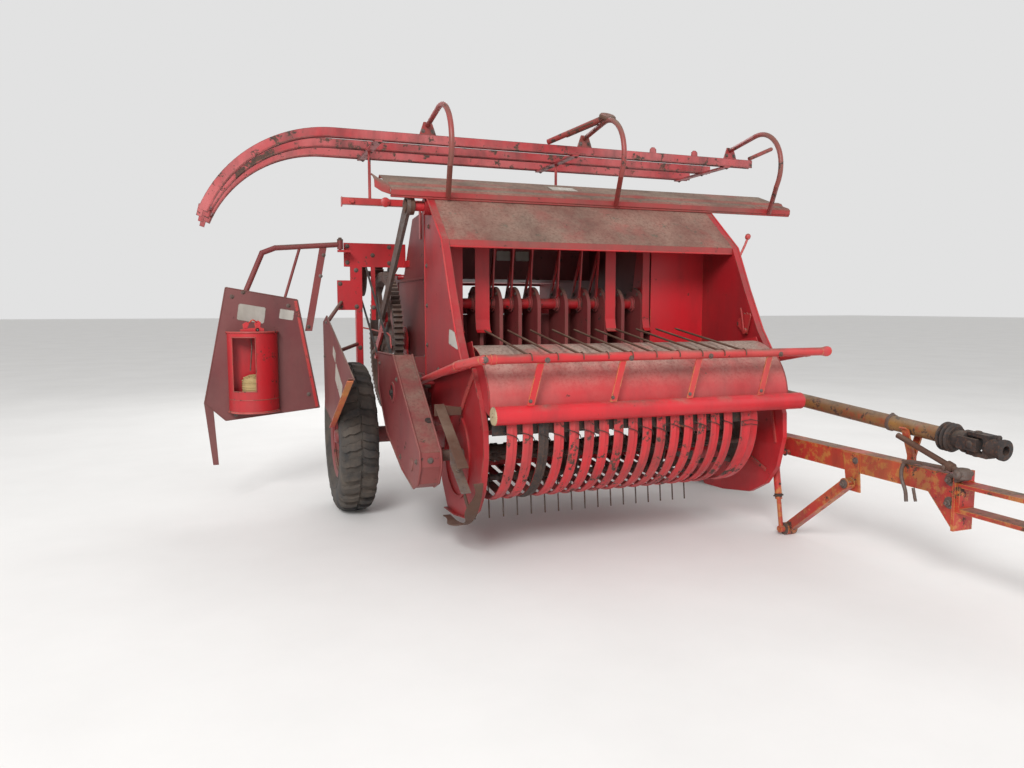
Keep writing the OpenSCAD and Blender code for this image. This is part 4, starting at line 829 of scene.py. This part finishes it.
# ---------- chamber, frame
FRAME_SIDES = ((-1, -800), (1, 804))      # which way each outer face looks, and its x

with Piece("wall_ribs", "root", "maroon", bevel=1) as p:
    for x in (-703, 448):
        for y in (1130, 1900, 2080, 2270):
            p.bar((x, y, 826), (x, y, 1284), 34, 5, RIGHT)
        for z in (826, 1282):
            p.bar((x, 1150 if z > 900 else 730, z), (x, 2292, z), 12, 6, RIGHT)
    p.bar((-694, 2294, 1286), (440, 2294, 1286), 10, 24)
    p.bar((-694, 2296, 848), (440, 2296, 848), 6, 22)

with Piece("wall_bolts", "root", "steel") as p:
    for s, x in ((-1, -700), (1, 445)):
        for y in (1000, 1200, 2200):
            for z in (850, 1262):
                p.bolt((x, y, z), (s, 0, 0), 15)
    for x in (-640, -530, -310, -120, 60, 290, 400):
        p.bolt((x, 1960, 1295), UP, 13)
    for s, x in FRAME_SIDES:
        for y, z in ((930, 640), (1010, 640), (1000, 760), (900, 760)):
            p.bolt((x, y, z), (s, 0, 0), 17)

with Piece("axle_straps", "root", "red_worn") as p:
    for x in (-634, 406, -985):
        for dx in (-16, 16):
            p.rod([(x + dx, *on_circle(AXLE, 50, a)) for a in range(180, 361, 20)] + [(x + dx, 1350, 470)], 11, 8)

with Piece("bearings", "root", "iron") as p:
    for s, x in FRAME_SIDES:
        p.lathe((x, *CROSS_SHAFT), (s, 0, 0), [(52, 0), (50, 10), (38, 14), (34, 24), (21, 24), (21, 10)], 28)
    p.lathe((496, *GEAR), RIGHT, [(54, 0), (54, 3), (30, 6)], 28)
    p.lathe((-760, *PINION), LEFT, [(40, 0), (38, 6), (24, 8)], 24)

# ---------- gear, pulleys, ram lever
with Piece("gear_nuts", "main_gear", "steel") as p:
    p.bolt((-882, *CRANK_PIN), LEFT, 30)
    for k in range(6):
        p.bolt((-845, *on_circle(GEAR, 90, 30 + 60 * k)), LEFT, 18)

with Piece("pinion_nut", "pinion", "steel") as p:
    p.bolt((-968, *PINION), LEFT, 34)
    for k in range(3):
        p.bolt((-960, *on_circle(PINION, 30, 120 * k)), LEFT, 8)

with Piece("low_pulley_nut", "cross_shaft", "steel") as p:
    p.bolt((-968, *CROSS_SHAFT), LEFT, 32)

with Piece("ram_caps", "ram", "rust") as p:
    p.lathe((-904, *RAM_PIVOT), LEFT, [(34, 0), (34, 5), (22, 9), (10, 10)], 24)
    p.bolt((-902, *RAM_PIN), LEFT, 28)
    p.lathe((-886, *RAM_PIVOT), RIGHT, [(44, 0), (42, 22), (30, 26)], 26)

with Piece("ram_collars", "ram", "rail", sharp=50) as p:
    for x in RAM_PLATES:
        p.lathe((x - 2, *RAM_TUBE), LEFT, [(28, 0), (44, 0), (44, 4), (34, 6), (34, 16), (28, 18)], 24)
        p.lathe((x + 22, *RAM_TUBE), RIGHT, [(28, 0), (36, 0), (36, 8), (28, 10)], 24)

with Piece("ram_bolts", "ram", "steel") as p:
    for x in RAM_PLATES:
        for y, z in ((760, 1190), (890, 1190), (825, 1215)):
            p.bolt((x, y, z), LEFT, 13)

# ---------- gearbox and drive shaft
SLOPE = 0.0625            # how far the drive shaft falls towards the front
AXIS = Vector((0, -1, -SLOPE)).normalized()
ACROSS = AXIS.cross(Vector(RIGHT)).normalized()
JOINT_Y = -780.0          # where the front joint of the shaft starts
GEARBOX = (925, 960)      # axis of the upright cap, as (x, y)


def on_shaft(s, y0=JOINT_Y):
    """The point of the shaft's axis at y0, moved on by s towards the front."""
    return Vector((925, y0, 670 + SLOPE * (y0 - 152))) + AXIS * s


with Piece("gearbox_trim", "root", "maroon", bevel=1) as p:
    p.lathe(on_shaft(0, 830), AXIS, [(50, 0), (52, 4), (52, 12), (42, 20), (38, 32), (26, 34)], 30)
    p.lathe((*GEARBOX, 820), UP, [(62, 0), (62, 8), (40, 12), (24, 14), (24, 26), (10, 30)], 26)
    for z in (668, 720, 772):
        p.bar((1010, 885, z), (1010, 1035, z), 8, 8)
        p.bar((866, 1040, z), (1010, 1040, z), 8, 8)
    p.lathe((1010, *CROSS_SHAFT), RIGHT, [(62, 0), (60, 8), (34, 14), (10, 15)], 28)

with Piece("gearbox_bolts", "root", "steel") as p:
    for k in range(6):
        p.bolt((1018, *on_circle(CROSS_SHAFT, 50, 60 * k + 30)), RIGHT, 13)
        p.bolt((*on_circle(GEARBOX, 52, 60 * k + 30), 828), UP, 12)
    for x in (884, 990):
        for z in (640, 800):
            p.bolt((x, 880, z), FRONT, 16)

with Piece("shaft_guard_rings", "drive_shaft", "iron") as p:
    for s0 in (-34, -16, 2):
        p.lathe(on_shaft(s0), AXIS, [(34, 0), (52, 2), (58, 8), (52, 14), (36, 16)], 32)
    p.lathe(on_shaft(60), AXIS, [(38, 0), (45, 4), (45, 18), (38, 22)], 28)
    for d in (Vector(RIGHT), Vector(LEFT), ACROSS, -ACROSS):
        p.lathe(on_shaft(112) + d * 43, d, [(15, -4), (15, 3), (10, 7), (5, 8)], 18)
    p.lathe(on_shaft(222), AXIS, [(38, -14), (40, -8), (40, 4), (30, 6), (18, 6), (18, -40)], 28)
    p.lathe(on_shaft(196), ACROSS, [(10, 30), (10, 44), (6, 50)], 14)

with Piece("shaft_collar", "drive_shaft", "steel") as p:
    p.lathe(on_shaft(-300), AXIS, [(32.5, 0), (36, 2), (36, 16), (32.5, 18)], 32)
    p.lathe(on_shaft(-1480), AXIS, [(32.5, 0), (42, 4), (42, 22), (36, 28)], 32)
    p.bolt(on_shaft(-292) + ACROSS * 35, ACROSS, 14)

# ---------- drawbar and stand
CHEEKS = (885, 965)       # faces of the end plate, as x
STRUT_RUN = (61, 354)     # from the leg's pin to the strut's top, in y and z


def on_strut(f):
    return Vector((805, LEG_PIN[0] + STRUT_RUN[0] * f, LEG_PIN[1] + STRUT_RUN[1] * f))


with Piece("drawbar_bolts", "root", "steel") as p:
    for y, z in ((-819, 453), (-820, 362)):
        p.bolt((CHEEKS[0], y, z), LEFT, 30, 10)
        p.lathe((CHEEKS[1], y, z), RIGHT, [(26, 0), (26, 4), (17, 4), (17, 18), (10, 20)], 16)
    p.bolt((828, -330, 335), LEFT, 26, 6)
    p.bolt((875, -345, 440), LEFT, 20)
    for y in (-600, -560):
        p.bolt((925, y, 475), UP, 13)
    for x in (893, 957):
        p.bolt((x, -850, 478), FRONT, 14)

with Piece("strut_pin", "root", "steel") as p:
    p.lathe((832, *STRUT_PIN), RIGHT, [(10, -4), (17, -3), (17, 0), (11, 0)], 20)
    p.lathe((862, *STRUT_PIN), RIGHT, [(11, 0), (18, 0), (18, 2.5), (11, 2.5)], 20)

with Piece("crank_rod", "root", "steel") as p:
    p.rod(smooth_path([(872, -800, 498), (872, -640, 492), (870, -606, 470), (868, -604, 420), (866, -628, 368),
                       (864, -637, 325)]), 15, 12)
    p.rod([(878, -655, 385), (876, -672, 332)], 13, 10)
    p.lathe((872, -802, 498), FRONT, [(12, -8), (14, 0), (8, 6)], 12)

with Piece("control_rod", "root", "rust") as p:
    p.rod([(884, -560, 588), (884, -673, 552), (884, -850, 494)], 24, 14)
    p.lathe((884, -800, 510), (0, -0.94, -0.32), [(14, 0), (19, 3), (19, 28), (14, 32)], 16)

with Piece("control_knuckle", "root", "steel", bevel=1) as p:
    p.lathe((884, -872, 470), UP, [(20, -6), (30, 0), (30, 30), (22, 38), (12, 40)], 22)
    p.lathe((884, -872, 486), LEFT, [(16, 20), (18, 34), (10, 42)], 16)
    p.bar((884, -872, 470), (884, -852, 455), 40, 12)

with Piece("drawbar_welds", "root", "red_bar") as p:
    for x in CHEEKS:
        p.rod([(x, -837, z) for z in range(258, 480, 12)], 8, 6)
        p.rod([(x, y, 476) for y in range(960, 1045, 12)], 7, 6)
    p.rod([(876, y, 471) for y in range(-360, -268, 10)], 7, 6)
    for x in (893, 957):
        p.rod([(x, -850, 448), (x, -864, 448)], 7, 6)

with Piece("stand_trim", "stand_leg", "steel") as p:
    p.bolt((822, *LEG_PIN), LEFT, 22)
    p.lathe((824, *LEG_PIN), LEFT, [(30, 0), (30, 4), (14, 5)], 24)
    p.lathe((876, *LEG_PIN), RIGHT, [(30, 0), (30, 4), (12, 8)], 24)

with Piece("strut_trim", "stand_strut", "iron") as p:
    # thin dark discs as painted shade for the pin holes in the sleeve
    for f in (0.62, 0.9):
        p.lathe(on_strut(f) + Vector((0, -17.4, 2.8)), (0, -1, 0.16), [(6, 0), (6, 1)], 14)
    q = on_strut(0.46)
    p.rod([q - Vector((28, 0, 0)), q + Vector((28, 0, 0))], 8, 8)
    p.lathe(q, Vector((0, *STRUT_RUN)).normalized(), [(17.4, -6), (19.5, -2), (19.5, 8), (17.4, 10)], 20)

# ---------- bale slide
RAILS = {1020: 1299, 1280: 1179, 1540: 1199}   # y of each long rail: x of its right end
BEND_X, BEND_Z, BEND_R = -1200, 1310, 658      # the bent left ends of the rails

with Piece("slide_tabs", "root", "rail", bevel=1) as p:
    for y in RAILS:
        p.plate("y", y - 16, 3, [(-1852, 1556), (-1828, 1548), (-1812, 1600), (-1838, 1612)])
    for x in (620, 900):
        p.plate("y", 1018, 6, [(x - 22, 2010), (x + 22, 2010), (x + 20, 2034), (x + 8, 2044), (x - 8, 2044),
                               (x - 20, 2034)])

with Piece("slide_bolts", "root", "steel") as p:
    for h in (-720, 180, 1150):
        for dx in (-26, 26):
            p.bolt((h + dx, 1016, 2030), FRONT, 14)
    for x in (-990, 110, 1110):
        for y in RAILS:
            p.bolt((x + 20, y, 1956), DOWN, 13)
    for x in (-900, -560, -220, 120, 460, 800, 1140):
        for y in (1020, 1280):
            p.lathe((x, y, 2009.5), UP, [(7, 0), (6, 2), (3, 3.4)], 10)

with Piece("rail_lips", "root", "rail", sharp=60) as p:
    bend = [radians(66.5 * k / 24) for k in range(1, 25)]
    for y, x_end in RAILS.items():
        for lip in (y - 16, y + 16):
            straight = [(x, lip, BEND_Z + BEND_R) for x in (x_end, BEND_X)]
            curve = [(BEND_X - BEND_R * sin(t), lip, BEND_Z + BEND_R * cos(t)) for t in bend]
            p.rod(straight + curve, 8, 6)

with Piece("hoop_pad", "root", "rust", bevel=1.5) as p:
    p.lathe((150, 690, 2094), (0, -0.5, 0.87), [(40, -2), (44, 3), (44, 12), (38, 17), (12, 17), (11, 13)], 28)
    p.bar((120, 760, 2085), (20, 940, 2045), 52, 8)

with Piece("board_lip", "root", "dusty_red", sharp=50) as p:
    p.rod(smooth_path([(-984, 699, 1646), (-600, 700, 1644), (-200, 698, 1645), (300, 700, 1644), (800, 698, 1645),
                       (1332, 700, 1645)], 8), 10, 8)
    # the curled left end: cross sections at three x
    curl = {-986: [(690, 1652), (700, 1688), (764, 1722), (806, 1728), (806, 1725), (764, 1718), (704, 1686),
                   (694, 1652)],
            -1030: [(686, 1664), (696, 1702), (764, 1738), (806, 1742), (806, 1739), (764, 1734), (700, 1699),
                    (690, 1664)],
            -1062: [(690, 1684), (700, 1722), (764, 1758), (800, 1760), (800, 1757), (764, 1754), (704, 1719),
                    (694, 1684)]}
    p.skin([[(x, y, z) for y, z in section] for x, section in curl.items()])

with Piece("slide_post", "root", "red_worn", bevel=1) as p:
    p.plate("x", -1134, 4, [(1262, 1660), (1298, 1660), (1298, 1712), (1262, 1712)])
    p.lathe((-900, 1280, 1690), FRONT, [(26, 18), (26, 30), (18, 34)], 22)
    p.rod([(-1080, 1262, 1690), (-1080, 1248, 1690)], 26, 14)

# ---------- knotters, needles, flap
with Piece("knotter_parts", "root", "steel") as p:
    for x in KNOTTERS:
        for dx, r in ((48, 92), (64, 70), (82, 96), (112, 60)):
            p.lathe((x + dx, *KNOTTER), RIGHT, [(r * 0.4, -5), (r, -4), (r, 4), (r * 0.4, 5)], 30)
        for a in range(0, 360, 36):
            p.bar((x + 82, *on_circle(KNOTTER, 92, a)), (x + 82, *on_circle(KNOTTER, 104, a)), 10, 7)
        p.rod(smooth_path([(x + 60, 1870, 1372), (x + 60, 1912, 1362), (x + 62, 1930, 1338), (x + 62, 1916, 1318)],
                          5), 12, 10)
        p.coil((x + 90, 1880, 1440), (x + 90, 1930, 1370), 9, 3, 9)
        p.rod([(x + 90, 1870, 1452), (x + 90, 1936, 1360)], 5, 6)
        for y, z in ((1720, 1310), (1880, 1310), (1750, 1450)):
            p.bolt((x + 30, y, z), LEFT, 13)
            p.bolt((x + 140, y, z), RIGHT, 13)

with Piece("needle_trim", "needles", "steel") as p:
    for x in KNOTTERS:
        p.lathe((x - 10, *on_circle(GEAR, 480, -20)), RIGHT, [(9, 0), (9, 20), (5, 22)], 16)
    for k in range(6):
        p.bolt((467, *on_circle(GEAR, 70, 60 * k)), RIGHT, 12)

with Piece("flap_trim", "flap", "red_worn", bevel=1) as p:
    p.bar((-680, 2331, 1341), (425, 2331, 1341), 30, 10)
    for x in (-660, -140, 390):
        for y in (2150, 2260):
            p.bolt((x, y, 1336), UP, 15)

# ---------- floor and light
FLOOR_SIZE = 160
BACKDROP, SKY_LIGHT = 0.76, 0.66


def add_area(name, at, target, size, power):
    """A square lamp at a point, in metres in the row frame, that looks at the target."""
    lamp = bpy.data.lights.new(name, "AREA")
    lamp.size = size
    lamp.energy = power
    o = bpy.data.objects.new(name, lamp)
    o.location = at
    o.rotation_euler = (Vector(target) - Vector(at)).to_track_quat("-Z", "Y").to_euler()
    bpy.context.scene.collection.objects.link(o)


# A pale floor, a white surround that looks brighter than it lights, and three lamps
bpy.ops.mesh.primitive_plane_add(size=FLOOR_SIZE, location=(0, 0, 0))
floor = bpy.context.object
floor.name = "floor"
g = Graph("floor_pale")
clouds = g.patches(1.2, 5, 0.6, 0.0, 0.3, 0.7)
col = g.mix(clouds, (0.77, 0.76, 0.745), (0.82, 0.81, 0.795))
g.bump(g.noise(40, 5, 0.6), 0.1, 0.002)
floor.data.materials.append(g.finish(col, 0.85))

world = bpy.data.worlds.new("World")
bpy.context.scene.world = world
g = Tree(world)
rays = g.add("ShaderNodeLightPath", {}).outputs
seen = g.add("ShaderNodeMath", {0: rays["Is Camera Ray"], 1: rays["Is Glossy Ray"]}, operation="MAXIMUM")
strength = g.add("ShaderNodeMapRange", {"Value": seen.outputs[0], "To Min": SKY_LIGHT, "To Max": BACKDROP})
sky = g.add("ShaderNodeBackground", {"Color": (1, 1, 1), "Strength": strength.outputs[0]})
g.add("ShaderNodeOutputWorld", {0: sky.outputs[0]})

add_area("key", (-6.0, -9.0, 7.5), (0, -0.2, 0.8), 4.0, 1150)
add_area("fill", (5.0, -3.0, 3.0), (0, 0, 0.8), 4.0, 50)
add_area("back", (1.0, 5.5, 4.0), (0, 0.5, 0.8), 4.0, 120)

bpy.context.scene.view_settings.view_transform = "Standard"
